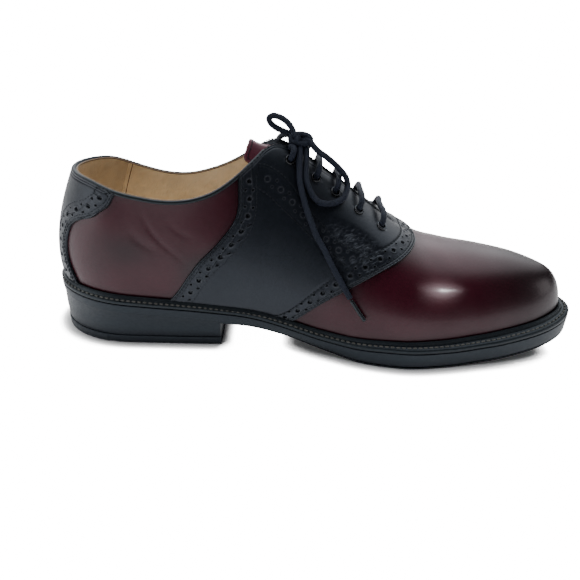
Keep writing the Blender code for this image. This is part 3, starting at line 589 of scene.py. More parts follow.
rubber = plain("soleRubber", {"color": (0.0052, 0.0062, 0.0104), "dustColor": (0.03, 0.03, 0.035), "dust": 0.35,
                              "scale": 700.0, "rough": 0.47, "bump": 0.18})
weltFinish = plain("weltLeather", {"color": (0.0045, 0.0060, 0.0080), "dustColor": (0.04, 0.04, 0.04), "dust": 0.3,
                                   "scale": 1200.0, "rough": 0.48, "bump": 0.3})
threadFinish = plain("blackThread", {"color": (0.0090, 0.0100, 0.0135), "dustColor": (0.06, 0.06, 0.06), "dust": 0.2,
                                     "scale": 3000.0, "rough": 0.62, "bump": 0.3})
enamel = plain("eyeletMetal", {"color": (0.05, 0.05, 0.054), "dustColor": (0.08, 0.08, 0.08), "dust": 0.1,
                               "scale": 900.0, "rough": 0.20, "bump": 0.03, "metallic": 0.85})
tipPlastic = plain("agletPlastic", {"color": (0.010, 0.010, 0.012), "dustColor": (0.06, 0.06, 0.06), "dust": 0.1,
                                    "scale": 900.0, "rough": 0.28, "bump": 0.05})


def laceMaterial():
    # waxed braided cord: ridges from the weave group as a bump, with painted shade in the grooves between them
    made, n, shader = newMaterial("laceCord")
    braid = n.add("ShaderNodeGroup", {"Strands": 5.0}, node_tree=weave).outputs["Height"]
    # painted shade in the braid's grooves, lighter on its ridges
    tone = n.mixColor(n.mapRange(braid, 0.4, 1.0), (0.0016, 0.0020, 0.0040, 1), (0.020, 0.024, 0.042, 1))
    bump = n.add("ShaderNodeBump", {"Height": braid, "Strength": 1.0, "Distance": 0.0005})
    n.fill(shader, {"Base Color": tone, "Roughness": 0.52, "Normal": bump.outputs[0],
                    "Specular IOR Level": 0.25, "Specular Tint": (0.74, 0.86, 1.0, 1)})
    return made


laceFinish = laceMaterial()
print("materials made")

# Upper and lining

upperLook = {
    "wall": 0.0018, "turns": 300, "levels": 72, "seam": 0.083,
    # dark toe: start, end, strength; painted shade at the foot: top level, strength;
    # reach of painted shade beside saddle and counter
    "toe": (0.74, 0.99, 0.96), "foot": (0.20, 0.55), "beside": (0.030, 0.036, 0.020),
    "darkerPlaces": ((0.150, 0.52, 0.045, 0.13, 0.75), (0.272, 0.42, 0.030, 0.14, 0.60), (0.090, 0.40, 0.030, 0.20, 0.30)),
}


def burnishAndShadeAt(turn, level):
    # darker at the toe, on the vamp's ridge and below the top line; painted shade along the welt and
    # beside the overlays, where the parts meet
    share = shareAt(turn)
    start, end, strength = upperLook["toe"]
    toe = smoothStep(share, start, end) * strength
    top, strength = upperLook["foot"]
    # painted shade along the welt
    foot = (1 - smoothStep(level, 0.0, top)) * strength
    rear, front, heel = upperLook["beside"]
    ridge = smoothStep(share, 0.70, 0.78) * smoothStep(level, 0.86, 1.0) * 0.10
    # painted shade beside the saddle's and the counter's edges
    bySaddle = np.maximum(1 - np.abs(share - smoothRows(saddle["edges"], 1, level)) / rear,
                          1 - np.abs(share - smoothRows(saddle["edges"], 2, level)) / front)
    byCounter = 1 - np.abs(share - smoothRows(counter["edges"], 1, level)) / heel
    rim = smoothStep(level, 0.90, 1.0) * (share < 0.45) * 0.35
    # darker places on the quarter: share, level, reach in share, reach in level, strength
    darkerPlaces = sum(strength * np.exp(-((share - a) / across) ** 2 - ((level - b) / up) ** 2)
                 for a, b, across, up, strength in upperLook["darkerPlaces"])
    overlays = 0.35 * np.clip(bySaddle, 0, 1) + 0.30 * np.clip(byCounter, 0, 1)
    return np.clip(np.maximum(toe, foot) + ridge + darkerPlaces + overlays + rim, 0, 1)


saddle = {
    # columns stand closer in a band along each edge; width is about that of the whole overlay
    "rise": 0.0015, "rows": 285, "width": 0.095, "bandWidth": 0.0125, "bandStep": 0.00032, "middleStep": 0.0013,
    # level, rear and front edge as shares along the upper
    "edges": ((0, .214, .440), (.06, .222, .462), (.2, .246, .508), (.35, .268, .569), (.475, .291, .623),
              (.58, .323, .664), (.68, .350, .691), (.76, .354, .706), (.87, .351, .722), (1, .347, .733)),
    # level, share of the front band's inner stitches
    "frontInner": ((0, .406), (.137, .459), (.258, .497), (.365, .534), (.462, .572), (.555, .610), (.679, .652),
                   (.823, .682), (.933, .693), (1, .696)),
    "holeShare": 0.36, "topStitch": (0.352, 0.676, 0.0017), "across": 0.55,
    # wrinkled leather: share, level, reach in share, reach in level
    "crumple": (0.575, 0.560, 0.072, 0.135),
}
counter = {
    "rise": 0.0015, "rows": 180, "columns": 88, "seamEnd": 0.004,
    # level, front edge as a share along the upper
    "edges": ((0, .06), (.06, .05), (.18, .0405), (.3, .0325), (.42, .0297), (.52, .033), (.595, .04),
              (.655, .0555), (.705, .0752), (.78, .0906), (.85, .103), (.92, .107), (1, .1117)),
}
brogue = {
    "stitchRows": (0.0013, 0.0027), "holeRow": 0.0060, "innerRow": 0.0100, "pitch": 0.0091,
    "big": 0.00112, "small": 0.00058, "pairGap": 0.0021, "depth": 0.0011, "smallDepth": 0.00088,
}
# punched wells, in radii of the hole: where the pit is full and ends, its raised lip, the strength of the
# painted highlight on the lip, where the pit's painted shade is full and ends
wellLook = {"full": 0.70, "end": 1.12, "lipAt": 1.40, "lipWidth": 0.35, "lip": 0.13, "lipHighlight": 6,
            "darkFull": 0.75, "darkEnd": 1.05}
overlayLook = {"sunk": 0.00012, "least": 0.0002, "edge": 0.0007, "edgeRise": 0.25, "groove": 0.00024,
               "rowWidth": 0.0003, "seamWidth": 0.00035, "thin": 0.45, "thinReach": 0.0035, "worn": 0.5,
               "wornReach": 0.0012}
stitchLook = {"pitch": 0.00225, "length": 0.0018, "width": 0.00050}
weltLook = {"thickness": 0.0024, "rise": 0.0030, "rib": 0.0021, "round": 0.0006, "turns": 420,
            "grooveInset": 0.0025, "wheelPitch": 0.0016, "wheelDepth": 0.00018}
sides = ((-1.0, "inner"), (1.0, "outer"))


def upperPatch(side):
    turn = np.linspace(0, 1, upperLook["turns"])[:, None]
    level = np.linspace(0, 1, upperLook["levels"])[None, :]
    outer = skin(turn, level, side)
    inner = skin(turn, level, side, -upperLook["wall"])
    none = 0 * turn * level
    behind = 1 - smoothStep(shareAt(turn) + none, upperLook["seam"], upperLook["seam"] + 0.004)
    return {"outer": outer, "inner": inner, "flip": side > 0,
            "attributes": {"burnishAndShade": burnishAndShadeAt(turn, level), "well": none, "crumple": none},
            "within": {"burnishAndShade": 0.42 * behind, "well": none, "crumple": none + 0.25}}


upper = shell("upper_leather", [upperPatch(-1.0), upperPatch(1.0)], [burgundy, liningLeather, blackLeather])
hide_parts("upper")
print("upper made")


# Overlays: a grid between two edge lines on the skin, its rows level with each other

def footLevel(turn, side):
    return levelAt(turn, side, weltLook["thickness"] + weltLook["rise"] * 0.4)


def edgeLine(rows, column, t, side):
    # the edge's turn and level where the way up from the welt is t
    level = np.array(t, float)
    for _ in range(6):
        turn = turnAt(smoothRows(rows, column, level))
        foot = footLevel(turn, side)
        level = foot + (1 - foot) * t
    return turn, level


def overlayLevel(turn, t, side):
    foot = footLevel(turn, side)
    level = foot + (1 - foot) * t[:, None]
    level[-1] = 1
    return level


def evenWay(rows, column, side, count):
    # ways up from the welt that lie evenly along an edge
    t = np.linspace(0, 1, 200)
    run = runOf(lastPoint(*edgeLine(rows, column, t, side), side))
    return np.interp(np.linspace(0, run[-1], count), run, t)


def punch(points, normals, holes):
    # presses round wells into a grid: depth times a soft step of the distance to each hole's middle, with
    # a faint raised lip around it; the well it gives back is painted shade in each pit, and a painted
    # highlight on the lip as a negative value
    look = wellLook
    sink = np.zeros(points.shape[:2])
    well = np.zeros(points.shape[:2])
    flat = points.reshape(-1, 3)
    low, high = flat.min(0), flat.max(0)
    for place, radius, depth in holes:
        if np.any(place < low - 0.004) or np.any(place > high + 0.004):
            continue
        away = np.linalg.norm(points - place, axis=-1)
        near = away < 3 * radius
        if not near.any():
            continue
        away = away / radius
        pit = 1 - smoothStep(away, look["full"], look["end"])
        lip = np.exp(-((away - look["lipAt"]) / look["lipWidth"]) ** 2) * look["lip"]
        sink = np.where(near, np.maximum(sink, pit * depth) - lip * depth, sink)
        # painted shade in the pit; the lip's painted highlight goes in as a negative value
        pitted = np.where(near, 1 - smoothStep(away, look["darkFull"], look["darkEnd"]), 0)
        well = np.where(pitted > 0.02, pitted, well - np.where(near, lip * look["lipHighlight"], 0))
    return points - normals * sink[..., None], well


def holeRow(turn, level, side, rise, start=0.5):
    # big holes a pitch apart along a line, with two small ones side by side halfway between
    point, normal = lastPoint(turn, level, side), lastNormal(turn, level, side)
    across = unit(np.cross(normal, unit(np.gradient(point, axis=0))))
    run = runOf(point)
    rows = np.concatenate((point, normal, across), axis=1)
    holes = []
    for k in range(int(run[-1] / brogue["pitch"] - start) + 1):
        at = (k + start) * brogue["pitch"]
        for here, size, depth, ways in ((at, "big", "depth", (0,)),
                                        (at + brogue["pitch"] / 2, "small", "smallDepth", (-1, 1))):
            if size == "small" and here > run[-1] - brogue["small"] * 2:
                continue
            place, up, wide = np.split(valuesAt(here, run, rows), 3)
            for way in ways:
                holes.append((place + unit(up) * rise + wide * way * brogue["pairGap"], brogue[size],
                              brogue[depth]))
    return holes


threads = []


def stitchLine(turn, level, side, height):
    # thread along a line: one rounded stitch a pitch, each a stretched ball sunk at both ends
    turn, level = evenLine(turn, level, side, stitchLook["pitch"])
    point, normal = skin(turn, level, side, height), lastNormal(turn, level, side)
    ahead = unit(np.gradient(point, axis=0))
    threads.append(((point[1:] + point[:-1]) / 2, ahead[:-1], unit(normal[1:] + normal[:-1]), stitchLook))


def stitchPath(points, normals, look):
    # the same along a polyline with its own normals
    run = resample(np.concatenate((points, normals), axis=1), look["pitch"])
    return (run[1:, :3] + run[:-1, :3]) / 2, unit(np.diff(run[:, :3], axis=0)), unit(run[1:, 3:]), look


def stitchMesh(name, lines, finish):
    # every stitch is the same little ball of rings, turned to its own line and stretched
    around, rings = 7, 7
    polar = np.linspace(0, math.pi, rings)[:, None]
    angle = np.linspace(0, 2 * math.pi, around, endpoint=False)
    thick = np.sin(polar) ** 0.6
    ball = np.stack((0 * angle - np.cos(polar), thick * np.cos(angle), thick * np.sin(angle)), -1).reshape(-1, 3)
    quads = ringQuads(rings, around, flip=True)
    points, faces, start = [], [], 0
    for middle, ahead, normal, look in lines:
        side = unit(np.cross(normal, ahead))
        axes = np.stack((ahead, side, np.cross(ahead, side)), 1)
        local = ball * (look["length"] / 2, look["width"] / 2, look["width"] / 2)
        points.append((middle[:, None] + local @ axes).reshape(-1, 3))
        index = (np.arange(len(middle)) * len(ball) + start)[:, None, None] + quads
        faces.append(index.reshape(-1, 4))
        start += len(middle) * len(ball)
    return weldedMesh(name, np.concatenate(points), np.concatenate(faces), finish, 80)


def quarterRound(distance, reach):
    # rises along a quarter circle from 0 at an edge to 1 at its reach
    return np.sqrt(1 - (1 - np.clip(distance / reach, 0, 1)) ** 2)


def overlayGrid(turn, level, side, rise, edgeRun, holes, seam):
    # raised grid: full rise in the middle, rounded down towards the skin at each free edge, thinner behind
    # the welt's rib, with a shallow groove under each row of stitches
    look = overlayLook
    base = skin(turn, level, side, look["sunk"])
    normal = lastNormal(turn, level, side)
    shape = look["edgeRise"] + (1 - look["edgeRise"]) * quarterRound(edgeRun, look["edge"])
    fromFoot = (level - level.min()) * levelHeight
    foot = look["thin"] + (1 - look["thin"]) * smoothStep(fromFoot, 0.0, look["thinReach"])
    rows = sum(np.exp(-((edgeRun - row) / look["rowWidth"]) ** 2) for row in brogue["stitchRows"])
    rows = rows + np.exp(-(seam / look["seamWidth"]) ** 2)
    lift = np.maximum(rise * shape * foot - look["sunk"] - look["groove"] * rows, look["least"])
    outer, well = punch(base + normal * lift[..., None], normal, holes)
    burnishAndShade = look["worn"] * (1 - smoothStep(edgeRun, 0.0, look["wornReach"]))
    return {"outer": outer, "inner": base, "flip": side > 0,
            "attributes": {"burnishAndShade": burnishAndShade, "well": well, "crumple": 0 * well}}


def acrossRun(points):
    # distance of each grid point from its row's first and from its row's last point
    steps = np.linalg.norm(np.diff(points, axis=1), axis=2)
    run = np.concatenate((np.zeros((len(points), 1)), np.cumsum(steps, axis=1)), axis=1)
    return run, run[:, -1:] - run


def makeSaddle(side, label):
    lift = saddle["rise"]
    t = evenWay(saddle["edges"], 1, side, saddle["rows"])
    rear, front = (edgeLine(saddle["edges"], column, t, side) for column in (1, 2))
    band, fine, width = saddle["bandWidth"], saddle["bandStep"], saddle["width"]
    w = np.concatenate((np.arange(0, band, fine), np.arange(band, width - band, saddle["middleStep"]),
                        np.arange(width - band, width + fine / 2, fine))) / width
    w = np.clip(w, 0, 1)
    w[-1] = 1
    turn = rear[0][:, None] * (1 - w) + front[0][:, None] * w
    level = overlayLevel(turn, t, side)
    flat = lastPoint(turn, level, side)
    fromRear, fromFront = acrossRun(flat)
    # past the throat's end both halves meet on the ridge, so the top is no free edge there
    joined = smoothStep(shareAt(turn), last["throatEnd"] - 0.002, last["throatEnd"] + 0.004)
    toTop = np.linalg.norm(flat - flat[-1:], axis=-1) + joined
    edgeRun = np.minimum(np.minimum(fromRear, fromFront), toTop)
    for edge, way in ((rear, side), (front, -side)):
        for distance in brogue["stitchRows"]:
            stitchLine(*offsetLine(*edge, side, way * distance), side, lift)
    holes = holeRow(*offsetLine(*rear, side, side * brogue["holeRow"]), side, lift)
    stitchLine(*offsetLine(*rear, side, side * brogue["innerRow"]), side, lift)
    innerShare = smoothRows(saddle["frontInner"], 1, front[1])
    stitchLine(turnAt(innerShare), front[1], side, lift)
    middle = innerShare + (shareAt(front[0]) - innerShare) * saddle["holeShare"]
    holes += holeRow(turnAt(middle), front[1], side, lift)
    for share, way in eyelet["places"]:
        holes.append((skin(turnAt(share), way, side, lift), eyelet["hole"] * 1.02, eyelet["holeDepth"]))
    start, end, below = saddle["topStitch"]
    top = turnAt(np.linspace(start, end, 120))
    stitchLine(*offsetLine(top, np.ones_like(top), side, -side * below), side, lift)
    innerAt = smoothRows(saddle["frontInner"], 1, level)
    seam = np.minimum(np.abs(fromRear - brogue["innerRow"]),
                      np.abs(shareAt(turn) - innerAt) * last["soleLength"] * saddle["across"])
    patch = overlayGrid(turn, level, side, lift, edgeRun, holes, seam)
    share, at, reach, up = saddle["crumple"]
    away = np.hypot((shareAt(turn) - share) / reach, (level - at) / up)
    patch["attributes"]["crumple"] = 1 - smoothStep(away, 0.35, 1.1)
    piece = shell(f"saddle_{label}", [patch], [blackLeather])
    return piece


eyelet = {
    "radius": 0.0030, "hole": 0.0018, "height": 0.0009, "holeDepth": 0.0013, "seat": 0.0013, "around": 48,
    # share along the upper, level on it
    "places": ((.451, .880), (.503, .858), (.543, .837), (.591, .812), (.638, .790)),
}
saddles = [makeSaddle(*which) for which in sides]
for piece in saddles:
    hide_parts("saddle")
print("saddle made")


def makeCounter():
    rise = counter["rise"]
    patches = []
    for side, _ in sides:
        t = evenWay(counter["edges"], 1, side, counter["rows"])
        front = edgeLine(counter["edges"], 1, t, side)
        turn = front[0][:, None] * np.linspace(0, 1, counter["columns"])
        level = overlayLevel(turn, t, side)
        flat = lastPoint(turn, level, side)
        _, fromFront = acrossRun(flat)
        edgeRun = np.minimum(fromFront, np.linalg.norm(flat - flat[-1:], axis=-1))
        for distance in brogue["stitchRows"]:
            stitchLine(*offsetLine(*front, side, -side * distance), side, rise)
        # hole row and inner stitches end at the heel's middle
        rows = []
        for distance in (brogue["holeRow"], brogue["innerRow"]):
            at, height = offsetLine(*front, side, -side * distance)
            rows.append((at[at > counter["seamEnd"]], height[at > counter["seamEnd"]]))
        holes = holeRow(*rows[0], side, rise)
        stitchLine(*rows[1], side, rise)
        seam = np.abs(fromFront - brogue["innerRow"])
        patches.append(overlayGrid(turn, level, side, rise, edgeRun, holes, seam))
    return shell("heel_counter", patches, [blackLeather])


heelCounter = makeCounter()
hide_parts("counter")
print("counter made")

# Perforated band along the facing, stitched at both edges
facingBand = {
    "rise": 0.00008, "lowest": 0.00016, "rows": 220, "columns": 30, "stitchRow": 0.0011, "holeStart": 0.7,
    # share, level of the upper and of the lower edge
    "upper": ((.388, .905), (.4157, .806), (.4416, .753), (.4677, .696), (.4921, .645), (.5306, .579),
              (.5601, .552), (.590, .545)),
    "lower": ((.385, .800), (.405, .715), (.4347, .635), (.4729, .579), (.5096, .532), (.5323, .508),
              (.552, .487), (.566, .470)),
}


def lineOf(rows, count):
    # turn and level along a table of shares and levels
    table = np.column_stack((np.linspace(0, 1, len(rows)), rows))
    t = np.linspace(0, 1, count)
    return np.array((turnAt(smoothRows(table, 1, t)), smoothRows(table, 2, t)))


def makeFacingBand(side, label):
    look = facingBand
    upperEdge, lowerEdge = lineOf(look["upper"], look["rows"]), lineOf(look["lower"], look["rows"])
    w = np.linspace(0, 1, look["columns"])
    turn, level = upperEdge[..., None] * (1 - w) + lowerEdge[..., None] * w
    flat = skin(turn, level, side, saddle["rise"] - overlayLook["sunk"])
    normal = lastNormal(turn, level, side)
    run = runOf(flat[:, look["columns"] // 2])
    ends = np.minimum(run, np.append(run[-1] - run[1:], 0))[:, None]
    edgeRun = np.minimum(np.minimum(*acrossRun(flat)), ends)
    lift = look["lowest"] + look["rise"] * quarterRound(edgeRun, overlayLook["edge"])
    top = saddle["rise"] + look["rise"]
    holes = holeRow(*(upperEdge + lowerEdge) / 2, side, top, start=look["holeStart"])
    outer, well = punch(flat + normal * lift[..., None], normal, holes)
    burnishAndShade = 0.5 * (1 - np.clip(edgeRun / overlayLook["edge"], 0, 1))
    patch = {"outer": outer, "inner": flat, "flip": side < 0,
             "attributes": {"burnishAndShade": burnishAndShade, "well": well, "crumple": 0 * well}}
    for edge, way in ((upperEdge, -side), (lowerEdge, side)):
        stitchLine(*offsetLine(*edge, side, way * look["stitchRow"]), side, top)
    piece = shell(f"facing_band_{label}", [patch], [blackLeather])


for side, label in sides:
    makeFacingBand(side, label)
print("facing bands made")

# Welt: a band whose profile runs from under its edge over the ledge to the rib against the upper

def soleOutline(turn, side, inset):
    share = shareAt(turn)
    x = heelBack + inset + (last["soleLength"] - 2 * inset) * share
    y = swing(share) + side * (halfWidth(share, side) - inset) * endFactor(share)
    return x, y


def weltFrame(turn, side):
    # foot on the upper, sole's edge, and the level direction and distance from that edge to the rib's crest
    foot = lastPoint(turn, 0 * turn, side)
    crest = lastPoint(turn, levelAt(turn, side, weltLook["thickness"] + weltLook["rise"]), side)
    x, y = soleOutline(turn, side, 0.0)
    base = soleTop((x - heelBack) / last["soleLength"]) + last["gap"]
    edge = np.stack((x, y, base), -1)
    toward = crest - edge
    toward[:, 2] = 0
    return foot, edge, unit(toward), np.linalg.norm(toward, axis=1)


def makeWelt():
    look = weltLook
    quads, points, start = [], [], 0
    for side, _ in sides:
        foot, edge, flat, wide = weltFrame(np.linspace(0, 1, look["turns"]), side)
        top, crest = look["thickness"] + look["round"], look["thickness"] + look["rise"]
        ledge = wide - last["gap"] - look["rib"]
        wheel = look["wheelDepth"] * np.clip(np.cos(runOf(edge) * 2 * math.pi / look["wheelPitch"]) * 2.5, -1, 1)
        groove = np.minimum(look["grooveInset"], ledge * 0.6)
        # distance in from the edge, height above the sole
        rows = ((0.0004, 0), (0, 0.0004), (0, 0.0016), (0.0003, 0.0023), (0.0009, 0.0027 + wheel * 0.6),
                (0.0016, top - 0.0002 + wheel), (groove - 0.0005, top - 0.0001), (groove, top - 0.0005),
                (groove + 0.0006, top - 0.0001), (ledge - 0.0003, top), (ledge + 0.0001, top + 0.0008),
                (ledge + 0.0003, crest - 0.0012), (ledge + 0.0007, crest - 0.0004), (ledge + 0.0012, crest),
                (wide - 1.4 * last["gap"], crest - 0.0004))
        profile = []
        for inward, height in rows:
            place = edge + flat * (0 * wide + inward)[:, None]
            place[:, 2] = edge[:, 2] + height
            profile.append(place)
        low = foot - flat * 0.0004
        low[:, 2] = edge[:, 2]
        profile.append(low)
        faces = ringQuads(look["turns"], len(profile), start, flip=True)
        quads.append(faces if side > 0 else faces[:, ::-1])
        points.append(np.stack(profile, 1).reshape(-1, 3))
        start += len(points[-1])
    return weldedMesh("storm_welt", np.concatenate(points), np.concatenate(quads), weltFinish, 50)


welt = makeWelt()
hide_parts("welt")


weltStitch = {"pitch": 0.0031, "length": 0.0023, "width": 0.0011}


def weltStitches():
    # one long stitch a pitch around the ledge, lying in its groove
    lines = []
    for side, _ in sides:
        _, edge, flat, wide = weltFrame(np.linspace(0, 1, 1500), side)
        ledge = wide - last["gap"] - weltLook["rib"]
        place = edge + flat * np.minimum(weltLook["grooveInset"], ledge * 0.6)[:, None]
        place[:, 2] = edge[:, 2] + weltLook["thickness"] + weltLook["round"] - 0.0001
        lines.append(stitchPath(place, np.tile((0.0, 0, 1), (len(place), 1)), weltStitch))
    return lines


paleThread = plain("paleThread", {"color": (0.10, 0.096, 0.086), "dustColor": (0.10, 0.10, 0.10), "dust": 0.3,
                                  "scale": 3000.0, "rough": 0.7, "bump": 0.3})
weltThread = stitchMesh("welt_stitches", weltStitches(), paleThread)
print("welt made")

# Sole unit: sole and heel in one moulding, closed rings from its top down

soleLook = {"grooveHeight": 0.0008, "grooveDepth": 0.0009, "chamfer": 0.0008, "bevel": 0.0030,
            "heelTaper": 0.0006, "toplift": 0.0050, "insert": -0.0178, "layer": 0.0012, "waistStart": 0.33,
            "waistEnd": 0.60, "turns": 360, "heelTurns": 110}


def ladder(name, rings, finish, closedFront=True, sharp=40):
    # rings from top to bottom, each a pair of sides; level caps, and a front wall where asked
    count, layers = len(rings[0][0]), len(rings)
    points = np.concatenate([np.concatenate(ring) for ring in rings])
    i = np.arange(count - 1)
    low = (layers - 1) * 2 * count
    faces = []
    for a in range(0, low, 2 * count):
        b, c, d = a + 2 * count, a + count, a + 3 * count
        faces += [np.stack((a + i, b + i, b + i + 1, a + i + 1), 1), np.stack((c + i, c + i + 1, d + i + 1, d + i), 1)]
    faces.append(np.stack((i, i + 1, count + i + 1, count + i), 1))
    faces.append(np.stack((low + i, low + count + i, low + count + i + 1, low + i + 1), 1))
    if not closedFront:
        for a in range(count - 1, low, 2 * count):
            faces.append(np.array([[a, a + 2 * count, a + 3 * count, a + count]]))
    return weldedMesh(name, points, np.concatenate(faces), finish, sharp)


def soleRing(turn, inset, height):
    # the sole's outline drawn in by an inset, at a height given for the shares along it
    ring = []
    for side, _ in sides:
        x, y = soleOutline(turn, side, inset)
        ring.append(np.stack((x, y, 0 * x + height(np.clip((x - heelBack) / last["soleLength"], 0, 1))), -1))
    return ring


def makeSole():
    look = soleLook
    breast = turnAt(last["heelLength"] / last["soleLength"])
    turn = np.concatenate((np.linspace(0, breast, look["heelTurns"]),
                           np.linspace(breast + 0.0006, 1, look["turns"] - look["heelTurns"])))
    share = shareAt(turn)
    heel = turn <= breast
    waist = np.clip((share - look["waistStart"]) / (look["waistEnd"] - look["waistStart"]), 0, 1)
    bottom = np.where(heel, look["chamfer"] * 0.4, look["chamfer"] + look["bevel"] * np.sin(math.pi * waist) ** 2)
    faint = 0.35 + 0.65 * smoothStep(share, 0.42, 0.62)
    groove = np.where(share < 0.36, 0, look["grooveDepth"] * faint)
    front = 0.3 * bottom
    taper = look["chamfer"] + look["heelTaper"]

    def above(extra):
        # the layer under the groove, and so much more
        return lambda shares: underside(shares) + look["layer"] + extra

    def between(part):
        # a part of the way up the layer, or at the heel of the way from its tread up to the layer's top
        def height(shares):
            low = np.where(heel, look["toplift"] + last["gap"], underside(shares))
            return low + (underside(shares) + look["layer"] - low) * part
        return height

    # inset at the heel, inset before it, height
    rows = [(0.0016, 0.0016, soleTop), (0.0003, 0.0003, soleTop), (0, 0, lambda s: soleTop(s) - 0.0003),
            (0, 0, lambda s: soleTop(s) - 0.0012), (0.0004, front, above(look["grooveHeight"]))]
    rows += [(0.0006, front + groove * deep, above(look["grooveHeight"] * part))
             for deep, part in ((0.9, 0.8), (1, 0.5), (0.9, 0.2))]
    rows += [(0.0007, front, above(0)), (0.0008, front + (bottom - front) * 0.25, between(0.45)),
             (taper, bottom, between(0.04)), (taper + 0.0003, bottom + 0.0006, between(0.0))]
    rings = [soleRing(turn, np.where(heel, atHeel, before), height) for atHeel, before, height in rows]
    return ladder("sole_unit", rings, rubber, sharp=35)


sole = makeSole()
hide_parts("outsole")
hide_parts("heel_block")


def makeToplift():
    look = soleLook
    turn = np.linspace(0, turnAt(last["heelLength"] / last["soleLength"]), 220)
    # the tread's insert at the back stands out a little
    x, _ = soleOutline(turn, 1.0, 0.0)
    stepIn = 0.0004 * smoothStep(x, look["insert"], look["insert"] + 0.0006)
    inset = look["chamfer"] + look["heelTaper"] - 0.0004 + stepIn
    # further inset, height
    rows = ((0.0004, look["toplift"]), (0, look["toplift"] - 0.0003), (0.0001, 0.0008), (0.0003, 0.0003), (0.0009, 0))
    rings = [soleRing(turn, inset + extra, lambda shares, z=height: z) for extra, height in rows]
    return ladder("heel_tread", rings, rubber, closedFront=False, sharp=35)


toplift = makeToplift()
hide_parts("toplift")


# its top is wider, up to the lining's swell; extra width and height of both rings
insoleLook = {"turns": 200, "inset": 0.0018, "rings": ((0.0010, 0.0030), (0.0, 0.0))}


def makeInsole():
    share = shareAt(np.linspace(0, 1, insoleLook["turns"]))
    inset = insoleLook["inset"] + 3 * last["gap"]
    rings = []
    for extra, height in insoleLook["rings"]:
        ring = []
        for side, _ in sides:
            rear = heelBack + last["heelEnds"][0] * last["soleLength"] + inset
            front = toeTip - last["toeEnds"][0] * last["soleLength"] - inset
            foot = halfWidth(share, side) - last["weltLedge"] * smoothRows(last["sections"], 1, share) - inset + extra
            x = rear + (front - rear) * share
            y = swing(share) + side * foot * endFactor(share)
            z = soleTop((x - heelBack) / last["soleLength"]) + last["gap"] + height
            ring.append(np.stack((x, y, z), -1))
        rings.append(ring)
    return ladder("insole_sock", rings, liningLeather)


insole = makeInsole()
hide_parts("insole")
print("sole made")

# Tongue: follows the facings from inside, then runs on free past their tops

tongueLook = {
    "from": 0.436, "to": 0.686, "edge": 0.790, "free": 0.0215, "taper": 0.15, "thickness": 0.0022,
    "depth": 0.0024, "wave": 0.0004, "columns": 26, "rows": 80, "freeRows": 40, "round": 0.06, "thin": 0.0008,
    # free length in the middle, more of it towards the sides, less at the corners
    "end": (0.82, 0.22, 0.18),
    # stitches: columns in from the side, row where they end
    "stitchInset": 4, "stitchEnd": 60, "stitch": {"pitch": 0.0023, "length": 0.0018, "width": 0.00042},
    # run, lift as shares of the free length
    "lift": ((0, 0), (.33, .03), (.67, .10), (1, .24)),
}


def makeTongue():
    look = tongueLook
    levels = np.linspace(look["edge"], 1, look["columns"])
    turns = np.linspace(turnAt(look["from"]), turnAt(look["to"]), look["rows"])[:, None]
    under, normal = (np.concatenate((of(turns, levels[None], -1.0), of(turns, levels[None, ::-1], 1.0)[:, 1:]), 1)
                     for of in (lastPoint, lastNormal))
    across = np.linspace(-1, 1, under.shape[1])[None]
    run = np.linspace(1, 0, look["freeRows"], endpoint=False)[:, None]
    free = np.repeat(under[:1], len(run), axis=0)
    middle, sideways, corners = look["end"]
    free[:, :, 0] -= look["free"] * run * (middle + sideways * across ** 2 - corners * across ** 8)
    free[:, :, 1] *= 1 - look["taper"] * run
    free[:, :, 2] += look["free"] * smoothRows(look["lift"], 1, run)
    free[:, :, 2] += look["wave"] * np.sin(run * 5) * np.cos(across * 2)
    grid = np.concatenate((free, under))
    normal = np.concatenate((np.repeat(normal[:1], len(run), axis=0), normal))
    edge = np.minimum(1 - np.abs(across), (np.arange(len(grid)) / look["freeRows"])[:, None])
    thin = look["thin"] * (1 - quarterRound(edge, look["round"]))
    outer = grid - normal * (look["depth"] + thin)[..., None]
    inner = grid - normal * (look["depth"] + look["thickness"] - 0.75 * thin)[..., None]
    attributes = {"burnishAndShade": 0.15 * (1 - np.clip(edge / 0.1, 0, 1)), "well": 0 * edge, "crumple": 0 * edge}
    piece = shell("tongue_leather", [{"outer": outer, "inner": inner, "flip": False, "attributes": attributes}],
                  [tongueBurgundyPaintedLighter, liningLeather, tongueBurgundyPaintedLighter], sharp=60)
    inset, end = look["stitchInset"], look["stitchEnd"]
    border = [np.concatenate((rows[end:inset:-1, inset], rows[inset, inset:-inset], rows[inset:end, -inset - 1]))
              for rows in (outer, normal)]
    threads.append(stitchPath(*border, look["stitch"]))
    return piece


tongue = makeTongue()
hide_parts("tongue")
print("tongue made")

# Bindings: a rolled edge of black leather around the opening, with a paler edge inside it

def lastUp(turn, side):
    top = lastPoint(turn, np.ones_like(turn), side)
    return unit(top - lastPoint(turn, np.full_like(turn, 0.96), side))


def edgeRoll(name, share, radius, inward, drop, finish):
    # roll from a share on the inner side round the heel to the same share on the outer side
    back = np.linspace(turnAt(share), 0, 260)
    path = [skin(turn, np.ones_like(turn), side, inward) - lastUp(turn, side) * drop
            for turn, side in ((back, -1.0), (back[-2::-1], 1.0))]
    piece = tube(name, np.concatenate(path), radius, finish, around=10)


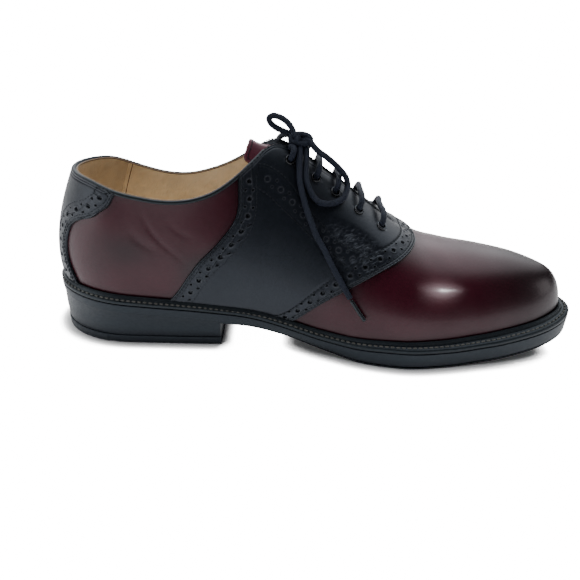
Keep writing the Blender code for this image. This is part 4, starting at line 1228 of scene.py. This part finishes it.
plainBlack = plain("blackBinding", {"color": (0.0040, 0.0048, 0.0060), "dustColor": (0.06, 0.06, 0.06), "dust": 0.2,
                                    "scale": 900.0, "rough": 0.45, "bump": 0.2})
paleEdge = plain("paleEdge", {"color": (0.22, 0.15, 0.09), "dustColor": (0.4, 0.3, 0.2), "dust": 0.2,
                              "scale": 900.0, "rough": 0.6, "bump": 0.2})
liningThread = plain("liningThread", {"color": (0.20, 0.11, 0.06), "dustColor": (0.4, 0.3, 0.2), "dust": 0.2,
                                      "scale": 3000.0, "rough": 0.7, "bump": 0.3})
edgeRoll("topline_binding", 0.400, 0.00115, 0.0002, 0.0006, plainBlack)
edgeRoll("lining_edge", 0.396, 0.0005, -0.0015, 0.0002, paleEdge)
liningLook = {"inward": -0.0019, "seam": 0.002, "beside": 0.009, "radius": 0.00035,
              "stitch": {"pitch": 0.0026, "length": 0.0018, "width": 0.0005}}
liningSeams = []
for side, label in sides:
    level = np.linspace(0.99, 0.35, 60)
    turn, beside = (np.full_like(level, turnAt(upperLook["seam"] + liningLook[key])) for key in ("seam", "beside"))
    fold = tube(f"lining_seam_{label}", skin(turn, level, side, liningLook["inward"]), liningLook["radius"],
                liningLeather, around=8)
    liningSeams.append(stitchPath(skin(beside, level, side, liningLook["inward"]),
                                  -lastNormal(beside, level, side), liningLook["stitch"]))
seamThread = stitchMesh("lining_stitches", liningSeams, liningThread)
print("bindings made")

# Eyelets

def makeEyelet(number, share, level, side, label):
    # a rounded bead over a collar that goes down into the hole
    turn = turnAt(share)
    centre, axis = skin(turn, level, side), lastNormal(turn, level, side)
    first = unit(np.cross(axis, (0, 0, 1.0)))
    second = np.cross(axis, first)
    low = 2 * last["gap"] + eyelet["seat"]
    hole, radius, height = eyelet["hole"], eyelet["radius"], eyelet["height"]
    middle, half = (hole + radius) / 2, (radius - hole) / 2
    rows = [(middle + half * math.cos(t), low - 0.0002 + height * math.sin(t) ** 0.8)
            for t in np.linspace(0, math.pi, 9)]
    rows += [(hole * 0.93, low - 0.0006), (hole * 0.93 + 0.0002, low - 0.0012), (radius - 0.0003, low - 0.0006)]
    angle = np.linspace(0, 2 * math.pi, eyelet["around"], endpoint=False)[:, None]
    ring = np.cos(angle) * first + np.sin(angle) * second
    points = np.stack([centre + axis * h + ring * r for r, h in rows], 1)
    count, around = points.shape[:2]
    # the profile is closed as well: its last ring joins its first
    faces = ringQuads(count + 1, around) % (count * around)
    piece = addMesh(f"ring_{label}_{number}", points.reshape(-1, 3), faces, [enamel], sharp=50)
    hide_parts(f"eyelet_{label}_{number}")


for number, (share, level) in enumerate(eyelet["places"], start=1):
    for side, label in sides:
        makeEyelet(number, share, level, side, label)
print("eyelets made")

sewn = stitchMesh("stitches", threads, threadFinish)
print("stitches made")

# Laces

laceLook = {
    "radius": 0.00165, "clearance": 0.0012, "overlay": 0.0013, "knotShare": 0.4718,
    "knotSize": (0.0118, 0.0092, 0.0104), "knotOffset": 0.0034,
    "reachInner": (-0.98, -0.68, -0.38), "reachOuter": (-0.18, 1.10, -0.64), "tip": 0.00115,
}
routes = {
    "nearLoop": (
        (.0940, -.0040, .1150), (.0956, -.0050, .1152), (.0977, -.0064, .1139), (.1009, -.0080, .1108),
        (.1054, -.0087, .1079), (.1102, -.0087, .1042),
        (.1143, -.0087, .1004), (.1174, -.0093, .0967), (.1186, -.0102, .0930), (.1180, -.0130, .0902),
        (.1162, -.0166, .0873), (.1122, -.0195, .0857), (.1071, -.0211, .0852), (.1026, -.0212, .0863),
        (.0995, -.0201, .0891), (.0973, -.0186, .0925), (.0956, -.0165, .0966), (.0953, -.0135, .1014),
        (.0953, -.0108, .1053), (.0954, -.0088, .1083), (.0953, -.0070, .1103),
        (.0945, -.0048, .1120)),
    "nearEnd": (
        (.0925, -.0045, .1128), (.0918, -.0072, .1112), (.0918, -.0100, .1088), (.0916, -.0124, .1055),
        (.0918, -.0145, .1017),
        (.0921, -.0173, .0968), (.0932, -.0197, .0921), (.0949, -.0221, .0868), (.0967, -.0243, .0817),
        (.0990, -.0265, .0763), (.1021, -.0292, .0698), (.1066, -.0323, .0629), (.1110, -.0356, .0553),
        (.1163, -.0393, .0472), (.1218, -.0424, .0387)),
    "nearTip": ((.1220, -.0425, .0384), (.1262, -.0440, .0325), (.1304, -.0456, .0270)),
    "farLoop": (
        (.0925, -.0046, .1146), (.0900, -.0046, .1158), (.0886, -.0042, .1174), (.0880, -.0034, .1188),
        (.0866, -.0022, .1213), (.0838, -.0010, .1241), (.0799, .0000, .1260), (.0764, .0005, .1264),
        (.0745, .0005, .1250), (.0753, .0002, .1228), (.0780, -.0002, .1206), (.0817, -.0006, .1189),
        (.0849, -.0012, .1179), (.0878, -.0022, .1168), (.0910, -.0030, .1150)),
    "farEnd": (
        (.0922, -.0032, .1136), (.0896, -.0022, .1155), (.0868, .0002, .1164), (.0840, .0034, .1160),
        (.0814, .0070, .1143), (.0800, .0106, .1118), (.0794, .0138, .1088), (.0790, .0168, .1052),
        (.0783, .0200, .1000), (.0782, .0239, .0929),
        (.0806, .0285, .0822), (.0832, .0329, .0701), (.0872, .0362, .0596)),
    "farTip": ((.0873, .0363, .0592), (.0895, .0378, .0539), (.0916, .0393, .0485)),
}


def softened(path, times):
    # each pass moves every inner point half way to the middle of its two neighbours
    path = np.array(path)
    for _ in range(times):
        path[1:-1] = (path[:-2] + 2 * path[1:-1] + path[2:]) / 4
    return path


def barHalf(share, level, side, rows):
    # way from eyelet to ridge, height above the skin
    turn = turnAt(share)
    points = []
    for way, height in rows:
        place = level + (1 - level) * way
        points.append(lastPoint(turn, place, side) + lastNormal(turn, place, side) * height)
    return points


barRows = ((0.0, -0.0008), (0.01, 0.0012), (0.06, 0.0036), (0.20, 0.0054), (0.50, 0.0056), (0.85, 0.0050))
for number, (share, level) in enumerate(eyelet["places"][1:], start=2):
    near = barHalf(share, level, -1.0, barRows)
    far = barHalf(share, level, 1.0, barRows)[::-1]
    path = softened(alongRoute(near + far, 0.0006), 36)
    bar = tube(f"lace_over_{number}", path, laceLook["radius"], laceFinish)
    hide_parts(f"lace_bar_{number}")

ridge = lastPoint(turnAt(laceLook["knotShare"]), 1.0, -1.0)
knotAt = np.array((ridge[0], -laceLook["knotOffset"], ridge[2] + laceLook["overlay"] + laceLook["clearance"]
                   + laceLook["knotSize"][2] / 2))
half = np.array(laceLook["knotSize"]) / 2
for label, side, reach in (("inner", -1.0, laceLook["reachInner"]), ("outer", 1.0, laceLook["reachOuter"])):
    points = barHalf(*eyelet["places"][0], side, barRows[:5]) + [knotAt + np.array(reach) * half]
    strand = tube(f"lace_up_{label}", alongRoute(points, 0.0006), laceLook["radius"], laceFinish)
    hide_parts(f"lace_strand_{label}")

# Knot: a hoop of cord over the top, two turns under it and the crossing below
turns = np.linspace(0, 2 * math.pi, 60)
parts = {
    "band": np.stack((0.90 * np.cos(turns), -0.30 + 0.35 * np.sin(turns), 0.34 + 0.44 * np.sin(turns)), 1),
    "left": np.stack((-0.40 + 0.16 * np.cos(turns), 0.56 * np.sin(turns), 0.02 + 0.52 * np.cos(turns)), 1),
    "right": np.stack((0.20 + 0.14 * np.cos(turns), 0.50 * np.sin(turns), -0.16 + 0.44 * np.cos(turns)), 1),
    "cross": np.stack((0.68 * np.cos(turns), 0.55 * np.sin(turns), -0.48 + 0.22 * np.sin(turns)), 1),
}
for label, path in parts.items():
    piece = tube(f"knot_{label}", knotAt + path * half, laceLook["radius"], laceFinish, rounded=False)
    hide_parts("lace_knot")

cords = {}
for label, name, node in (("nearLoop", "bow_loop_near", "near_loop"), ("farLoop", "bow_loop_far", "far_loop"),
                          ("nearEnd", "lace_end_near", "near_end"), ("farEnd", "lace_end_far", "far_end")):
    path = alongRoute(routes[label], 0.0007)
    piece = tube(name, path, laceLook["radius"], laceFinish)
    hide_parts(node)
    cords[label] = (piece, path, float(runOf(path)[-1]))
for label, name, node in (("nearTip", "aglet_near", "near_aglet"), ("farTip", "aglet_far", "far_aglet")):
    path = alongRoute(routes[label], 0.0008)
    piece = tube(name, path, laceLook["tip"], tipPlastic)
    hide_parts(node)
for label in ("nearLoop", "farLoop"):
    piece, path, length = cords[label]
for label, tip in (("nearEnd", "nearTip"), ("farEnd", "farTip")):
    piece, path, length = cords[label]
print("laces made", {label: round(c[2], 4) for label, c in cords.items()})

# Camera, floor and light

cameraLook = {"place": (0.08565, -0.3283, 0.1948), "focal": 599.0, "yaw": 0.61, "pitch": 27.92, "roll": -2.05,
              "sensor": 36, "pixels": 580}


def makeCamera():
    yaw, pitch, roll = (math.radians(cameraLook[k]) for k in ("yaw", "pitch", "roll"))
    ahead = np.array((math.sin(yaw) * math.cos(pitch), math.cos(yaw) * math.cos(pitch), -math.sin(pitch)))
    right = np.array((math.cos(yaw), -math.sin(yaw), 0.0))
    down = np.cross(ahead, right)
    across = right * math.cos(roll) + down * math.sin(roll)
    below = -right * math.sin(roll) + down * math.cos(roll)
    data = bpy.data.cameras.new("photoCamera")
    data.sensor_width = cameraLook["sensor"]
    data.sensor_fit = "HORIZONTAL"
    data.lens = cameraLook["sensor"] * cameraLook["focal"] / cameraLook["pixels"]
    data.clip_start = 0.01
    camera = bpy.data.objects.new("photoCamera", data)
    turned = np.eye(4)
    turned[:3, 0], turned[:3, 1], turned[:3, 2], turned[:3, 3] = across, -below, -ahead, cameraLook["place"]
    camera.matrix_world = Matrix(turned.tolist())
    bpy.context.scene.collection.objects.link(camera)
    bpy.context.scene.camera = camera


makeCamera()

floorLook = {"size": 30.0, "front": -0.40, "color": (0.88, 0.88, 0.88), "rough": 0.9, "paintedShadowReach": 0.008,
             "paintedShadowPower": 14.0, "glow": 16.0, "paintedReflection": 0.050}
floorMaterial, floorNodes, floorShader = newMaterial("paleFloor")
# the camera sees the floor evenly overexposed; ambient occlusion dims that glow into a painted contact shadow
# close under the shoe, and glossy rays see a faint glow too, a painted reflection of a lit white floor
rays = floorNodes.add("ShaderNodeLightPath").outputs
seen = floorNodes.math("ADD", rays["Is Camera Ray"],
                       floorNodes.math("MULTIPLY", rays["Is Glossy Ray"], floorLook["paintedReflection"]))
# painted contact shadow: ambient occlusion close under the shoe, raised to a power
open_ = floorNodes.add("ShaderNodeAmbientOcclusion", {"Distance": floorLook["paintedShadowReach"]}, samples=8).outputs["AO"]
glowWithPaintedShadow = floorNodes.math("MULTIPLY", floorNodes.math("POWER", open_, floorLook["paintedShadowPower"]), floorLook["glow"])
floorNodes.fill(floorShader, {
    "Base Color": (*floorLook["color"], 1), "Roughness": floorLook["rough"], "Specular IOR Level": 0.2,
    "Emission Strength": floorNodes.math("MULTIPLY", glowWithPaintedShadow, seen), "Emission Color": (1, 1, 1, 1)})
floorMesh = bpy.data.meshes.new("floor")
r = floorLook["size"] / 2
front = floorLook["front"]
floorMesh.from_pydata([(-r, front, 0), (r, front, 0), (r, r, 0), (-r, r, 0)], [], [(0, 1, 2, 3)])
floorMesh.materials.append(floorMaterial)
floor = bpy.data.objects.new("floor", floorMesh)
bpy.context.scene.collection.objects.link(floor)

lights = (
    # place, target, width, height, watts
    ((-0.78, -0.46, 0.22), (0.0, 0.0, 0.05), 0.45, 0.50, 2.2),
    ((1.05, -0.20, 0.26), (0.22, 0.0, 0.05), 0.35, 0.35, 0.9),
)
spots = (
    # target, direction to the lamp, distance, cone in degrees, radius, watts
    ((0.1775, -0.0425, 0.0480), (0.58, -0.52, 0.62), 0.80, 1.2, 0.008, 28.0),
)


def lampAt(data, place, target):
    lamp = bpy.data.objects.new(data.name, data)
    way = Matrix.Translation(target).translation - Matrix.Translation(place).translation
    lamp.matrix_world = Matrix.Translation(place) @ way.to_track_quat("-Z", "Y").to_matrix().to_4x4()
    bpy.context.scene.collection.objects.link(lamp)


for number, (place, target, width, height, watts) in enumerate(lights):
    data = bpy.data.lights.new(f"softLight{number}", "AREA")
    data.shape = "RECTANGLE"
    data.size, data.size_y = width, height
    data.energy = watts
    lampAt(data, place, target)
for number, (target, way, distance, cone, radius, watts) in enumerate(spots):
    data = bpy.data.lights.new(f"glint{number}", "SPOT")
    data.spot_size = math.radians(cone)
    data.spot_blend = 1.0
    data.shadow_soft_size = radius
    data.energy = watts
    lampAt(data, tuple(t + w * distance for t, w in zip(target, way)), target)

# Room: dim walls, and a broad soft ceiling leaning behind the shoe; the light rises with the cosine
# between a direction and the ceiling's middle
room = {"middle": (-0.05, 0.55, 0.82), "start": 0.45, "end": 0.84, "dim": 0.05, "bright": 2.6}
world = bpy.data.worlds.new("softRoom")
world.use_nodes = True
w = Nodes(world.node_tree)
middle = np.array(room["middle"]) / np.linalg.norm(room["middle"])
toward = w.add("ShaderNodeVectorMath", {0: w.add("ShaderNodeTexCoord").outputs["Generated"], 1: tuple(middle)},
               operation="DOT_PRODUCT")
glow = w.add("ShaderNodeMapRange", {0: toward.outputs["Value"], 1: room["start"], 2: room["end"],
                                    3: room["dim"], 4: room["bright"]}, interpolation_type="SMOOTHSTEP")
w.fill(world.node_tree.nodes["Background"], {0: (0.96, 0.98, 1.0, 1), 1: glow.outputs[0]})
bpy.context.scene.world = world
print("camera and light made")

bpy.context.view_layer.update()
